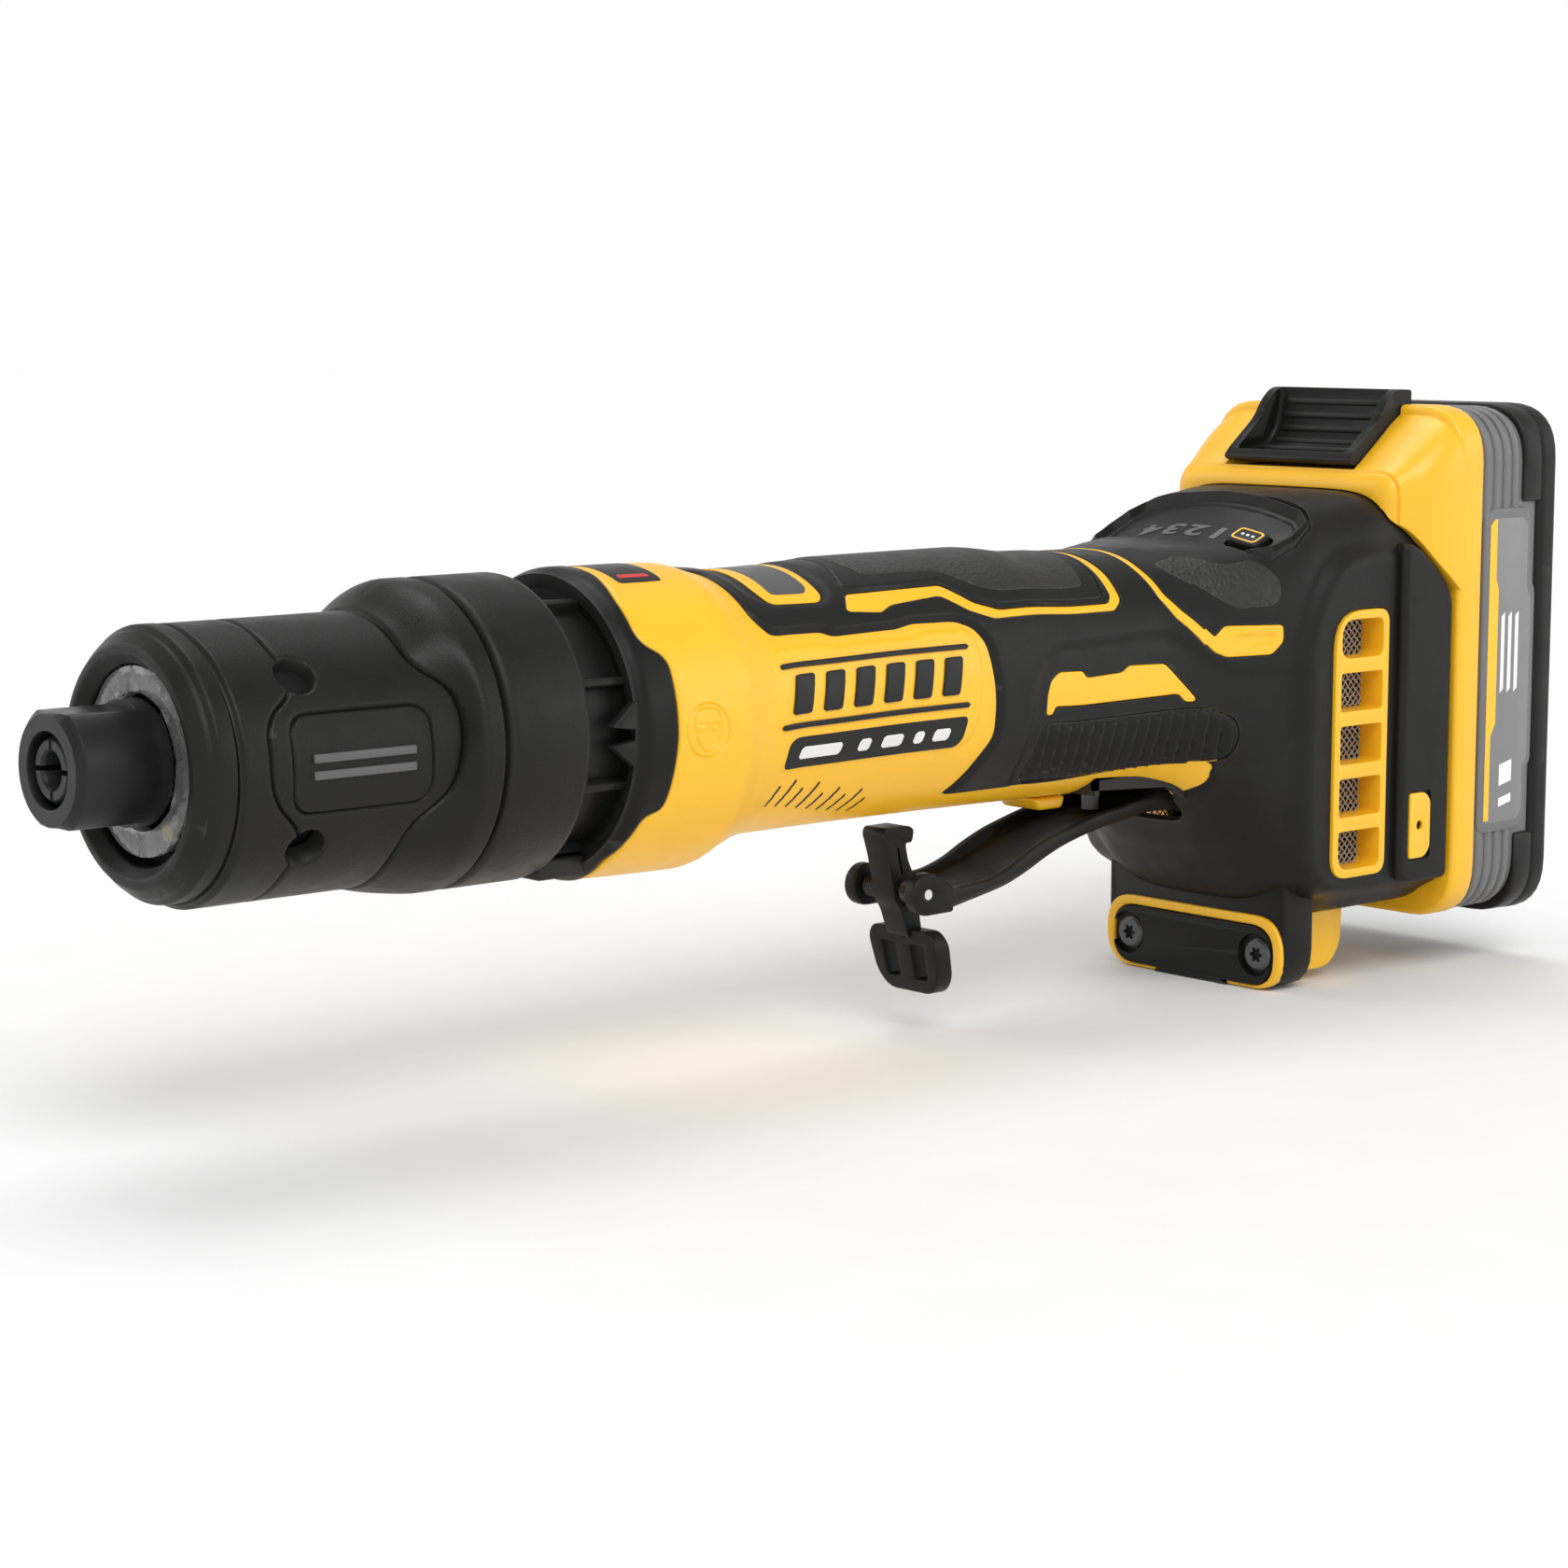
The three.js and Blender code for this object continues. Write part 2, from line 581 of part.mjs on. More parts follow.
function buildElectronics() {
    place('control_board', box(283, 296, -24, 24, -38, 10), boardGreen);
    place('terminal_block', cut(
        box(299.5, 310.2, -14.4, 14.4, -30.4, -15.6),
        ...BLADE_YS.map((y) => box(303.5, 312, y - 0.7, y + 0.7, -27.4, -18.6)),
    ), blackPlastic);
    BLADE_YS.forEach((y, k) => {
        place(`terminal_blade_${k + 1}`, box(304, 318, y - 0.4, y + 0.4, -27, -19), brass);
    });
    const plungerX = 240;
    const switchBody = cut(
        box(229, 251, -7, 7, -20, -8),
        barAlongZ(plungerX, 0, -21, -11, 2 + RUNNING_GAP, 12),
    );
    place('microswitch', switchBody, blackPlastic);
    place('switch_plunger', barAlongZ(plungerX, 0, -32, -17, 2, 12), greyPlastic);
    place('front_grip_fin', box(217, 225, -6, 6, -30.6, -28.6), yellowPlastic);
}

// ---------------------------------------------------------------- paddle lever and lock lever

function buildPaddle() {
    // The round front ears carry the lock pin. Their arc runs from the underside up to the top edge.
    const earRadius = 4.6;
    const earSteps = 6;
    const earArc = Array.from({ length: earSteps + 1 }, (_, k) => {
        const angle = Math.PI * (1.45 - (1.1 * k) / earSteps);
        return [LOCK_PIVOT.x + earRadius * Math.cos(angle), LOCK_PIVOT.z + earRadius * Math.sin(angle)];
    });
    // Underside of the lever from its rear pivot forward, then its top edge back again.
    const underside = [
        [274, -33], [271, -35.2], [264, -34.6], [256, -32.4], [245, -33.6], [232, -35.4],
        [220, -38.4], [210, -42.6], [203, -45], [193, -46.8], [184, -48.6],
    ];
    const top = [
        ...earArc, [187, -42.4], [196, -42.6],
        [204, -40.4], [212, -36.8], [222, -33.6], [236, -31.2], [248, -29.6], [258, -28.6],
        [265, -27], [271, -27.2], [274, -29.4],
    ];
    const floorTop = [
        [188, -40], [188, -45], [200, -43.8], [210, -40.6], [220, -36.4], [232, -33.6], [245, -31.8],
        [258, -30.8], [261, -30.8], [261, -20], [188, -20],
    ];
    const innerHalf = PADDLE_HALF - 1.8;
    const hull = sideOutline([...underside, ...top], -PADDLE_HALF, PADDLE_HALF);
    const channel = sideOutline(floorTop, -innerHalf, innerHalf);
    const forkGap = sideOutline([[165, -60], [165, -30], [186.5, -30], [186.5, -60]], -7.6, 7.6);
    const rearPin = barAlongY(PADDLE_PIVOT.x, PADDLE_PIVOT.z, -20, 20, 2 + RUNNING_GAP, 12);
    const lockPin = barAlongY(LOCK_PIVOT.x, LOCK_PIVOT.z, -20, 20, 1.5 + RUNNING_GAP, 12);
    const springRoom = box(262, 280, -7.5, 7.5, -60, -20);
    place('paddle_lever', cut(hull, channel, forkGap, rearPin, lockPin, springRoom), blackPlastic);
    place('paddle_pin', barAlongY(PADDLE_PIVOT.x, PADDLE_PIVOT.z, -15.8, 15.8, 2, 12), brightSteel);
    place('paddle_spring', sleeveAlongY(PADDLE_PIVOT.x, PADDLE_PIVOT.z, -6.6, 6.6, 3.4, 2.3), darkSteel);
    place('lock_pin', barAlongY(LOCK_PIVOT.x, LOCK_PIVOT.z, -10.8, 10.8, 1.5, 12), brightSteel);

    // The lock lever leans back as it goes down: a hooked blade above its pin, a slotted frame below.
    const blade = sideOutline([
        [173.2, -31], [174.4, -29.6], [181.2, -29.6], [182.2, -30.8], [181.2, -32.6], [179.6, -33],
        [180.6, -37], [182.6, -41], [182.9, -44.5], [184, -49], [185, -53], [180.8, -53],
        [178.6, -48], [176.7, -45.4], [176.3, -42], [174.8, -36],
    ], -3.4, 3.4);
    const frame = sideOutline([[180.7, -52.2], [185.2, -52.2], [189, -66.6], [184.5, -66.6]], -12, 12)
        .intersect(roundedBlock(170, 195, -10.5, 10.5, -66.6, -52.2, 3.5));
    const slots = [-1, 1].map((side) => box(
        175, 195,
        side > 0 ? 2.6 : -7, side > 0 ? 7 : -2.6,
        -63.4, -55.6,
    ));
    const pinHole = barAlongY(LOCK_PIVOT.x, LOCK_PIVOT.z, -20, 20, 1.5 + RUNNING_GAP, 12);
    place('lock_lever', cut(joined(blade, frame), ...slots, pinHole), blackPlastic);
    const springInner = 1.75;
    const springOuter = 2.7;
    place('lock_spring',
        sleeveAlongY(LOCK_PIVOT.x, LOCK_PIVOT.z, -7.2, -3.8, springOuter, springInner), darkSteel);
}

// ---------------------------------------------------------------- battery pack

const LATCH_HALF = 19;

function buildBattery() {
    const plate = box(HOUSING_END + 1, CASE_BACK, -60, 60, -90, 90);
    const wedge = sideOutline([
        [302.5, 38.7], [303.6, 41], [327, BATTERY_TOP], [CASE_BACK, BATTERY_TOP], [CASE_BACK, 38.7],
    ], -60, 60);
    const outlineBlock = roundedBlock(
        290, CASE_BACK, -BATTERY_HALF, BATTERY_HALF, BATTERY_BOTTOM, BATTERY_TOP, BATTERY_CORNER,
    );
    const rail = box(RAIL.x0, HOUSING_END + 1.5, -RAIL.half, RAIL.half, RAIL.z0, RAIL.z1 + 2);
    const bladeSlots = BLADE_YS.map((y) =>
        box(RAIL.x0 - 1, 319, y - 1, y + 1, RAIL.z0 - 1, -15));
    const inside = roundedBlock(
        326, CASE_BACK + 1, -BATTERY_HALF + 3, BATTERY_HALF - 3,
        BATTERY_BOTTOM + 3, 40, BATTERY_CORNER - 3,
    );
    const latchRoom = sideOutline([
        [299, 43], [306.5, 43], [311.5, 43], [CASE_BACK + 1, 43], [CASE_BACK + 1, 70], [299, 70],
    ], -LATCH_HALF - 0.5, LATCH_HALF + 0.5);
    place('battery_case', cut(
        joined(joined(plate, wedge).intersect(outlineBlock), rail), ...bladeSlots, inside, latchRoom,
    ), yellowPlastic);

    const latch = sideOutline([
        [304.6, 44.4], [306.2, 43.5], [327, 43.5], [327, 59.6], [325.6, 60.8], [322.8, 60.4],
        [322.4, 58], [322.6, 53], [311, 47], [309, 46.6],
    ], -LATCH_HALF, LATCH_HALF);
    const cheeks = [-1, 1].map((side) => sideOutline([
        [304.6, 44.4], [306.2, 43.5], [327, 43.5], [327, 59.6], [325.6, 60.8], [320.6, 60.6],
        [316, 56.4],
    ], side > 0 ? LATCH_HALF - 2.6 : -LATCH_HALF, side > 0 ? LATCH_HALF : -LATCH_HALF + 2.6));
    const springHeight = 48.5;
    const springWell = turned([[322, 0], [322, 3], [328, 3], [328, 0]], 12, springHeight);
    place('battery_latch', joined(latch, ...cheeks).subtract(springWell), blackPlastic);
    place('latch_spring', ring(325.6, 330.8, 2.6, 1.8, 12, springHeight), brightSteel);

    const canWall = 2;
    const can = cut(
        roundedBlock(CASE_BACK + FIT_GAP, CAN_BACK, -BATTERY_HALF + 0.8, BATTERY_HALF - 0.8,
            BATTERY_BOTTOM + 0.6, BATTERY_TOP - 0.8, BATTERY_CORNER),
        roundedBlock(CASE_BACK, CAN_BACK - canWall, -BATTERY_HALF + 3, BATTERY_HALF - 3,
            BATTERY_BOTTOM + 3, BATTERY_TOP - 3, BATTERY_CORNER - 3),
    );
    place('battery_can', can, greyPlastic);
    const cells = 5;
    const cellPitch = 3.2;
    const stack = Array.from({ length: cells }, (_, k) => {
        const x = 332.6 + k * cellPitch;
        return joined(box(x, x + 2.6, -31, 31, -55, 49), box(x, x + cellPitch, -30, 30, -54, 48));
    });
    place('cell_stack', joined(...stack), pouchSilver);
    const bumper = cut(
        roundedBlock(345, BUMPER_BACK, -BATTERY_HALF, BATTERY_HALF, -64, BATTERY_TOP, BATTERY_CORNER),
        roundedBlock(344, CAN_BACK + FIT_GAP, -BATTERY_HALF + 0.5, BATTERY_HALF - 0.5,
            BATTERY_BOTTOM + 0.3, BATTERY_TOP - 0.5, BATTERY_CORNER),
    );
    const gaugeX = 355.5;
    const gauge = (radius, z0, z1) => barAlongZ(gaugeX, 0, z0, z1, radius, 12);
    place('battery_bumper', cut(bumper, gauge(2.8, -70, -62.8)), blackRubber);
    place('gauge_button', gauge(2.5, -64.6, -63.5), greyPlastic);
    placePair('battery_label',
        box(333, 344.6, -BATTERY_HALF - 0.1, -BATTERY_HALF + 0.6, -42, 32), greyPlastic);
}

buildSpindle();
buildBearing('front_bearing', 5, 16, SHAFT_RADIUS, 17.1);
buildBearing('rear_bearing', 146, 153, TAIL_RADIUS, 11);
buildNose();
buildMotor();
buildHousing();
buildFasteners();
buildVents();
buildElectronics();
buildPaddle();
buildBattery();

group.position.set(-MIDDLE_X, 0, BASE_HEIGHT);

export default group;
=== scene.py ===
"""Looks of the cordless die grinder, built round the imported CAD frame.

Shapes are worked out in the tool frame, in millimetres: x runs along the spindle from the collet to
the battery and is 0 at the front of the nose boot, z is measured from the spindle axis, and the -Y
side is the one with the badge. to_frame() turns that into the row frame in metres.
"""

import json
import math

import bmesh
import bpy
import numpy as np
from mathutils import Matrix, Vector


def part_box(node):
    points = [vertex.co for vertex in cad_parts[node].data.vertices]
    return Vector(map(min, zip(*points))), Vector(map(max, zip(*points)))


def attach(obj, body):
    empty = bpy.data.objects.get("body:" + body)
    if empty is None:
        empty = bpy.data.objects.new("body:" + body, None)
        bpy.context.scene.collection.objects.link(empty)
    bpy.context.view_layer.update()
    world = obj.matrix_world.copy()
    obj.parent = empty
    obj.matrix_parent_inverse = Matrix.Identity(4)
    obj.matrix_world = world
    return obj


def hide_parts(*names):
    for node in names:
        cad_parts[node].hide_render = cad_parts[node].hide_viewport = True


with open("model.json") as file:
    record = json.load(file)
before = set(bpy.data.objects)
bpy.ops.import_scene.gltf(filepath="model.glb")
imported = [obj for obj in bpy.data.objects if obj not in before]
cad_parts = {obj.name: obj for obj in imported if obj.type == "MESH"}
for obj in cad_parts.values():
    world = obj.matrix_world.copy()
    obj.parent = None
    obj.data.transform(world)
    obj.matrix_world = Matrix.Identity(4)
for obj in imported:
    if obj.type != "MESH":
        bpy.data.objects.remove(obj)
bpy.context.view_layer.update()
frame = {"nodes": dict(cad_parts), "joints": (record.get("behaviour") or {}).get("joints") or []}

MM = 0.001
joint_at = {j["name"]: np.array(j["pos_m"]) / MM for j in frame["joints"] if "pos_m" in j}
AXIS_HEIGHT = joint_at["spindle_spin"][2]
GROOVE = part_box("nose_boot")[0].x / MM
SHIFT = np.array([GROOVE, 0.0, AXIS_HEIGHT])


def to_frame(points):
    return (np.asarray(points, float) + SHIFT) * MM


def tool_box(node):
    """Lowest and highest corner of a CAD node in the tool frame."""
    low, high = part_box(node)
    return np.array(low) / MM - SHIFT, np.array(high) / MM - SHIFT


ORIGIN = Vector(to_frame([(0, 0, 0)])[0])


def joint_place(name):
    """The x and z of a hinge's axis in the tool frame."""
    at = joint_at[name] - SHIFT
    return at[0], at[2]


# ---------------------------------------------------------------- materials


def material(name, colour, roughness, grain=0.15, grain_size=0.5, metallic=0.0, mottle=0.12,
             wear=0.25, coat=0.0, transmission=0.0, pits=0.0, shine=0.5):
    """Procedural finish: mottled colour and roughness, fine grain in the bump and worn edges."""
    made = bpy.data.materials.new(name)
    made.use_nodes = True
    nodes, links = made.node_tree.nodes, made.node_tree.links
    shader = nodes["Principled BSDF"]
    shader.inputs["Metallic"].default_value = metallic
    shader.inputs["Coat Weight"].default_value = coat
    shader.inputs["Coat Roughness"].default_value = 0.25
    shader.inputs["Transmission Weight"].default_value = transmission
    shader.inputs["Specular IOR Level"].default_value = shine
    place = nodes.new("ShaderNodeTexCoord")

    def noise(size_mm, detail):
        node = nodes.new("ShaderNodeTexNoise")
        node.inputs["Scale"].default_value = 1.0 / (size_mm * MM)
        node.inputs["Detail"].default_value = detail
        links.new(place.outputs["Object"], node.inputs["Vector"])
        return node.outputs["Fac"]

    def spread(value, low, high, from_low=0.3, from_high=0.7):
        node = nodes.new("ShaderNodeMapRange")
        node.inputs["From Min"].default_value = from_low
        node.inputs["From Max"].default_value = from_high
        node.inputs["To Min"].default_value = low
        node.inputs["To Max"].default_value = high
        links.new(value, node.inputs["Value"])
        return node.outputs["Result"]

    def blend(amount, first, second):
        node = nodes.new("ShaderNodeMix")
        node.data_type = "RGBA"
        links.new(amount, node.inputs["Factor"])
        for socket, value in (("A", first), ("B", second)):
            target = next(i for i in node.inputs if i.name == socket and i.type == "RGBA")
            if isinstance(value, tuple):
                target.default_value = (*value, 1)
            else:
                links.new(value, target)
        return next(o for o in node.outputs if o.type == "RGBA")

    broad = noise(22, 4)
    dark = tuple(c * (1 - mottle) for c in colour)
    light = tuple(min(1.0, c * (1 + mottle)) for c in colour)
    base = blend(spread(broad, 0, 1), dark, light)
    edge = nodes.new("ShaderNodeNewGeometry").outputs["Pointiness"]
    worn = tuple(min(1.0, c * (1 + wear) + 0.02 * wear) for c in colour)
    base = blend(spread(edge, 0, 0.8, 0.52, 0.6), base, worn)
    links.new(base, shader.inputs["Base Color"])
    rough = spread(noise(5, 3), max(0.03, roughness - 0.05), min(1.0, roughness + 0.06))
    links.new(rough, shader.inputs["Roughness"])

    height = noise(grain_size, 2)
    bump = nodes.new("ShaderNodeBump")
    bump.inputs["Strength"].default_value = grain
    bump.inputs["Distance"].default_value = grain_size * MM * 0.35
    links.new(height, bump.inputs["Height"])
    normal = bump.outputs["Normal"]
    if pits:
        cells = nodes.new("ShaderNodeTexVoronoi")
        cells.inputs["Scale"].default_value = 1.0 / (grain_size * 1.8 * MM)
        links.new(place.outputs["Object"], cells.inputs["Vector"])
        second = nodes.new("ShaderNodeBump")
        second.inputs["Strength"].default_value = pits
        second.inputs["Distance"].default_value = grain_size * MM * 0.5
        links.new(cells.outputs["Distance"], second.inputs["Height"])
        links.new(normal, second.inputs["Normal"])
        normal = second.outputs["Normal"]
    links.new(normal, shader.inputs["Normal"])
    return made


YELLOW = material("moulded_yellow", (0.93, 0.5, 0.012), 0.36, grain=0.12, grain_size=0.35,
                  mottle=0.03, wear=0.08, coat=0.12)
BLACK = material("moulded_black", (0.0075, 0.0073, 0.007), 0.4, grain=0.16, grain_size=0.3,
                 wear=0.9, shine=0.18)
NOSE_BLACK = material("nose_rubber", (0.0085, 0.0081, 0.0076), 0.42, grain=0.35, grain_size=0.35,
                      wear=0.9, pits=0.12, shine=0.22)
RUBBER = material("grip_rubber", (0.009, 0.0087, 0.0084), 0.43, grain=0.2, grain_size=0.4,
                  wear=0.8, shine=0.22)
TEXTURED = material("pebbled_rubber", (0.015, 0.0142, 0.0135), 0.5, grain=0.5, grain_size=0.55,
                    wear=0.8, pits=0.65, shine=0.45)
BOARD_BLACK = material("black_board", (0.01, 0.01, 0.011), 0.35, mottle=0.3, shine=0.3)
NUT = material("black_oxide_steel", (0.012, 0.012, 0.0125), 0.36, grain=0.08, metallic=0.2,
               wear=1.2, shine=0.25)
DARK_STEEL = material("dark_steel", (0.05, 0.05, 0.052), 0.38, metallic=0.8, wear=1.0)
STEEL = material("ground_steel", (0.62, 0.62, 0.63), 0.25, grain=0.1, metallic=1.0)
WIRE = material("mesh_wire", (0.4, 0.4, 0.41), 0.4, metallic=0.35)
CASTING = material("cast_nose", (0.008, 0.008, 0.009), 0.6, grain=0.4, grain_size=0.8, shine=0.2)
GREY = material("grey_plastic", (0.15, 0.15, 0.152), 0.4, grain=0.15, grain_size=0.35, mottle=0.06)
GREY_LABEL = material("grey_label", (0.205, 0.205, 0.21), 0.32, grain=0.05, mottle=0.04)
CLEAR = material("lens_plastic", (0.5, 0.5, 0.5), 0.05, grain=0.25, grain_size=3.5,
                 mottle=0.12, transmission=0.88)
LED = material("led_phosphor", (0.75, 0.7, 0.05), 0.4, mottle=0.1)
WHITE_INK = material("white_ink", (0.75, 0.75, 0.75), 0.4, grain=0.05, mottle=0.05)
RED_INK = material("red_ink", (0.55, 0.02, 0.02), 0.4, grain=0.05, mottle=0.05)
BLACK_INK = material("black_ink", (0.008, 0.008, 0.008), 0.38, grain=0.08, mottle=0.1, shine=0.3)
GREY_INK = material("grey_ink", (0.075, 0.075, 0.075), 0.4, grain=0.05)
BOARD = material("circuit_board", (0.02, 0.12, 0.04), 0.4, mottle=0.25)
COPPER = material("copper_wire", (0.6, 0.22, 0.09), 0.35, grain=0.7, grain_size=0.6, metallic=1.0)
BRASS = material("brass", (0.6, 0.4, 0.13), 0.3, metallic=1.0)
FOIL = material("cell_foil", (0.5, 0.51, 0.53), 0.35, grain=0.4, grain_size=2.0, metallic=0.8)


# ---------------------------------------------------------------- building blocks


def add_object(name, data):
    made = bpy.data.objects.new(name, data)
    bpy.context.scene.collection.objects.link(made)
    return made


def make_object(name, points, faces):
    """A mesh object from points in the tool frame."""
    mesh = bpy.data.meshes.new(name)
    mesh.from_pydata(to_frame(points).tolist(), [], [list(f) for f in faces])
    mesh.update()
    return add_object(name, mesh)


def fix_normals(thing):
    work = bmesh.new()
    work.from_mesh(thing.data)
    bmesh.ops.recalc_face_normals(work, faces=work.faces)
    work.to_mesh(thing.data)
    work.free()


def apply_modifiers(thing):
    graph = bpy.context.evaluated_depsgraph_get()
    thing.data = bpy.data.meshes.new_from_object(thing.evaluated_get(graph))
    thing.modifiers.clear()


def boolean(thing, tool, operation="DIFFERENCE"):
    fix_normals(thing)
    fix_normals(tool)
    step = thing.modifiers.new("boolean", "BOOLEAN")
    step.operation = operation
    step.solver = "EXACT"
    step.object = tool
    apply_modifiers(thing)
    bpy.data.objects.remove(tool)
    return thing


def bevelled(thing, width, segments=3, angle=35):
    """Rounds the sharp edges, in millimetres."""
    step = thing.modifiers.new("bevel", "BEVEL")
    step.width = width * MM
    step.segments = segments
    step.limit_method = "ANGLE"
    step.angle_limit = math.radians(angle)
    step.harden_normals = False
    step.use_clamp_overlap = True
    apply_modifiers(thing)
    return thing


def piece(thing, body, finish, slot, *nodes, sharp=38):
    """Finishes a piece: smooth shading, material, body and the CAD nodes it stands for, which it hides.
    The slot argument is not used.
    """
    thing.data.materials.clear()
    thing.data.materials.append(finish)
    thing.data.shade_smooth()
    thing.data.set_sharp_from_angle(angle=math.radians(sharp))
    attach(thing, body)
    if nodes:
        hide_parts(*nodes)
    return thing


def joined(name, parts):
    """Several objects as one, each keeping its own closed surfaces."""
    points, faces = [], []
    for part in parts:
        start = len(points)
        points += [v.co.copy() for v in part.data.vertices]
        faces += [[start + i for i in f.vertices] for f in part.data.polygons]
        bpy.data.objects.remove(part)
    mesh = bpy.data.meshes.new(name)
    mesh.from_pydata(points, [], faces)
    return add_object(name, mesh)


def rounded(corners, radius, steps=5):
    """A closed outline with its corners rounded; radius is one number or one for each corner."""
    points = np.asarray(corners, float)
    radii = radius if isinstance(radius, (list, tuple)) else [radius] * len(points)
    out = []
    for k, corner in enumerate(points):
        before = points[k - 1] - corner
        after = points[(k + 1) % len(points)] - corner
        reach = min(radii[k], 0.48 * np.linalg.norm(before), 0.48 * np.linalg.norm(after))
        if reach < 1e-6:
            out.append(corner)
            continue
        start = corner + before / np.linalg.norm(before) * reach
        end = corner + after / np.linalg.norm(after) * reach
        for t in np.linspace(0, 1, steps + 1):
            out.append((1 - t) ** 2 * start + 2 * t * (1 - t) * corner + t * t * end)
    return np.array(out)


AXES = {"x": (1, 2, 0), "y": (0, 2, 1), "z": (0, 1, 2)}


def prism(name, outline, axis, low, high):
    """An outline pulled along an axis. Its two columns are the other two axes, in order."""
    outline = np.asarray(outline, float)
    first, second, along = AXES[axis]
    count = len(outline)
    points = np.zeros((2 * count, 3))
    for k, level in enumerate((low, high)):
        points[k * count:(k + 1) * count, first] = outline[:, 0]
        points[k * count:(k + 1) * count, second] = outline[:, 1]
        points[k * count:(k + 1) * count, along] = level
    faces = [list(range(count))[::-1], list(range(count, 2 * count))]
    faces += [[k, (k + 1) % count, count + (k + 1) % count, count + k] for k in range(count)]
    made = make_object(name, points, faces)
    fix_normals(made)
    return made


def block(name, x, y, z):
    return prism(name, [(x[0], z[0]), (x[1], z[0]), (x[1], z[1]), (x[0], z[1])], "y", *y)


def lathe(name, profile, steps=96, centre_z=0.0, shape=None):
    """A closed profile of (x, radius) turned about the spindle axis."""
    profile = np.asarray(profile, float)
    angles = np.arange(steps) * 2 * math.pi / steps
    x, r = profile[:, 0], profile[:, 1]
    points = np.stack([
        np.broadcast_to(x, (steps, len(x))),
        np.outer(np.cos(angles), r),
        np.outer(np.sin(angles), r) + centre_z,
    ], -1)
    if shape is not None:
        points = shape(points, angles)
    count = len(x)
    faces = [
        [a * count + k, a * count + (k + 1) % count, b * count + (k + 1) % count, b * count + k]
        for a, b in ((s, (s + 1) % steps) for s in range(steps)) for k in range(count)
    ]
    made = make_object(name, points.reshape(-1, 3), faces)
    work = bmesh.new()
    work.from_mesh(made.data)
    bmesh.ops.remove_doubles(work, verts=work.verts, dist=1e-6)
    bmesh.ops.recalc_face_normals(work, faces=work.faces)
    work.to_mesh(made.data)
    work.free()
    return made


def ring_faces(rows, count):
    """Quads between neighbouring rings of points."""
    return [
        [r * count + k, r * count + (k + 1) % count,
         (r + 1) * count + (k + 1) % count, (r + 1) * count + k]
        for r in range(rows - 1) for k in range(count)
    ]


def tube(name, path, radius, around=8):
    """A round wire along a path, closed at its ends."""
    path = np.asarray(path, float)
    tangent = np.gradient(path, axis=0)
    tangent /= np.linalg.norm(tangent, axis=1)[:, None]
    helper = np.array([0.31, 0.2, 0.93])
    side = np.cross(tangent, helper)
    side /= np.linalg.norm(side, axis=1)[:, None]
    up = np.cross(side, tangent)
    angles = np.arange(around) * 2 * math.pi / around
    rings = (path[:, None] + radius * (np.cos(angles)[None, :, None] * side[:, None]
                                       + np.sin(angles)[None, :, None] * up[:, None]))
    rows = len(path)
    faces = ring_faces(rows, around)
    faces += [list(range(around))[::-1], list(range((rows - 1) * around, rows * around))]
    return make_object(name, rings.reshape(-1, 3), faces)


def coil_along_y(name, x, z, y0, y1, radius, wire, turns):
    count = int(turns * 16) + 1
    t = np.linspace(0, 1, count)
    angle = t * turns * 2 * math.pi
    path = np.stack([x + radius * np.cos(angle), y0 + (y1 - y0) * t, z + radius * np.sin(angle)], -1)
    return tube(name, path, wire)


def disc(name, axis, at, low, high, radius, steps=32):
    """A plain round bar, used as a cutter or a base to bevel."""
    angles = np.arange(steps) * 2 * math.pi / steps
    outline = np.stack([at[0] + radius * np.cos(angles), at[1] + radius * np.sin(angles)], -1)
    return prism(name, outline, axis, low, high)


# ---------------------------------------------------------------- surface sheets


def signed(x, y, outline):
    """Distance of each point to the outline, positive inside it."""
    corners = np.asarray(outline, float)
    best = np.full(len(x), 1e9)
    inside = np.zeros(len(x), bool)
    for a, b in zip(corners, np.roll(corners, -1, 0)):
        d = b - a
        t = np.clip(((x - a[0]) * d[0] + (y - a[1]) * d[1]) / max(d @ d, 1e-12), 0, 1)
        best = np.minimum(best, np.hypot(x - a[0] - t * d[0], y - a[1] - t * d[1]))
        crosses = (a[1] > y) != (b[1] > y)
        if d[1]:
            inside ^= crosses & (x < a[0] + (y - a[1]) / d[1] * d[0])
    return np.where(inside, best, -best)


def ramp(value, low, high):
    t = np.clip((value - low) / (high - low), 0, 1)
    return t * t * (3 - 2 * t)


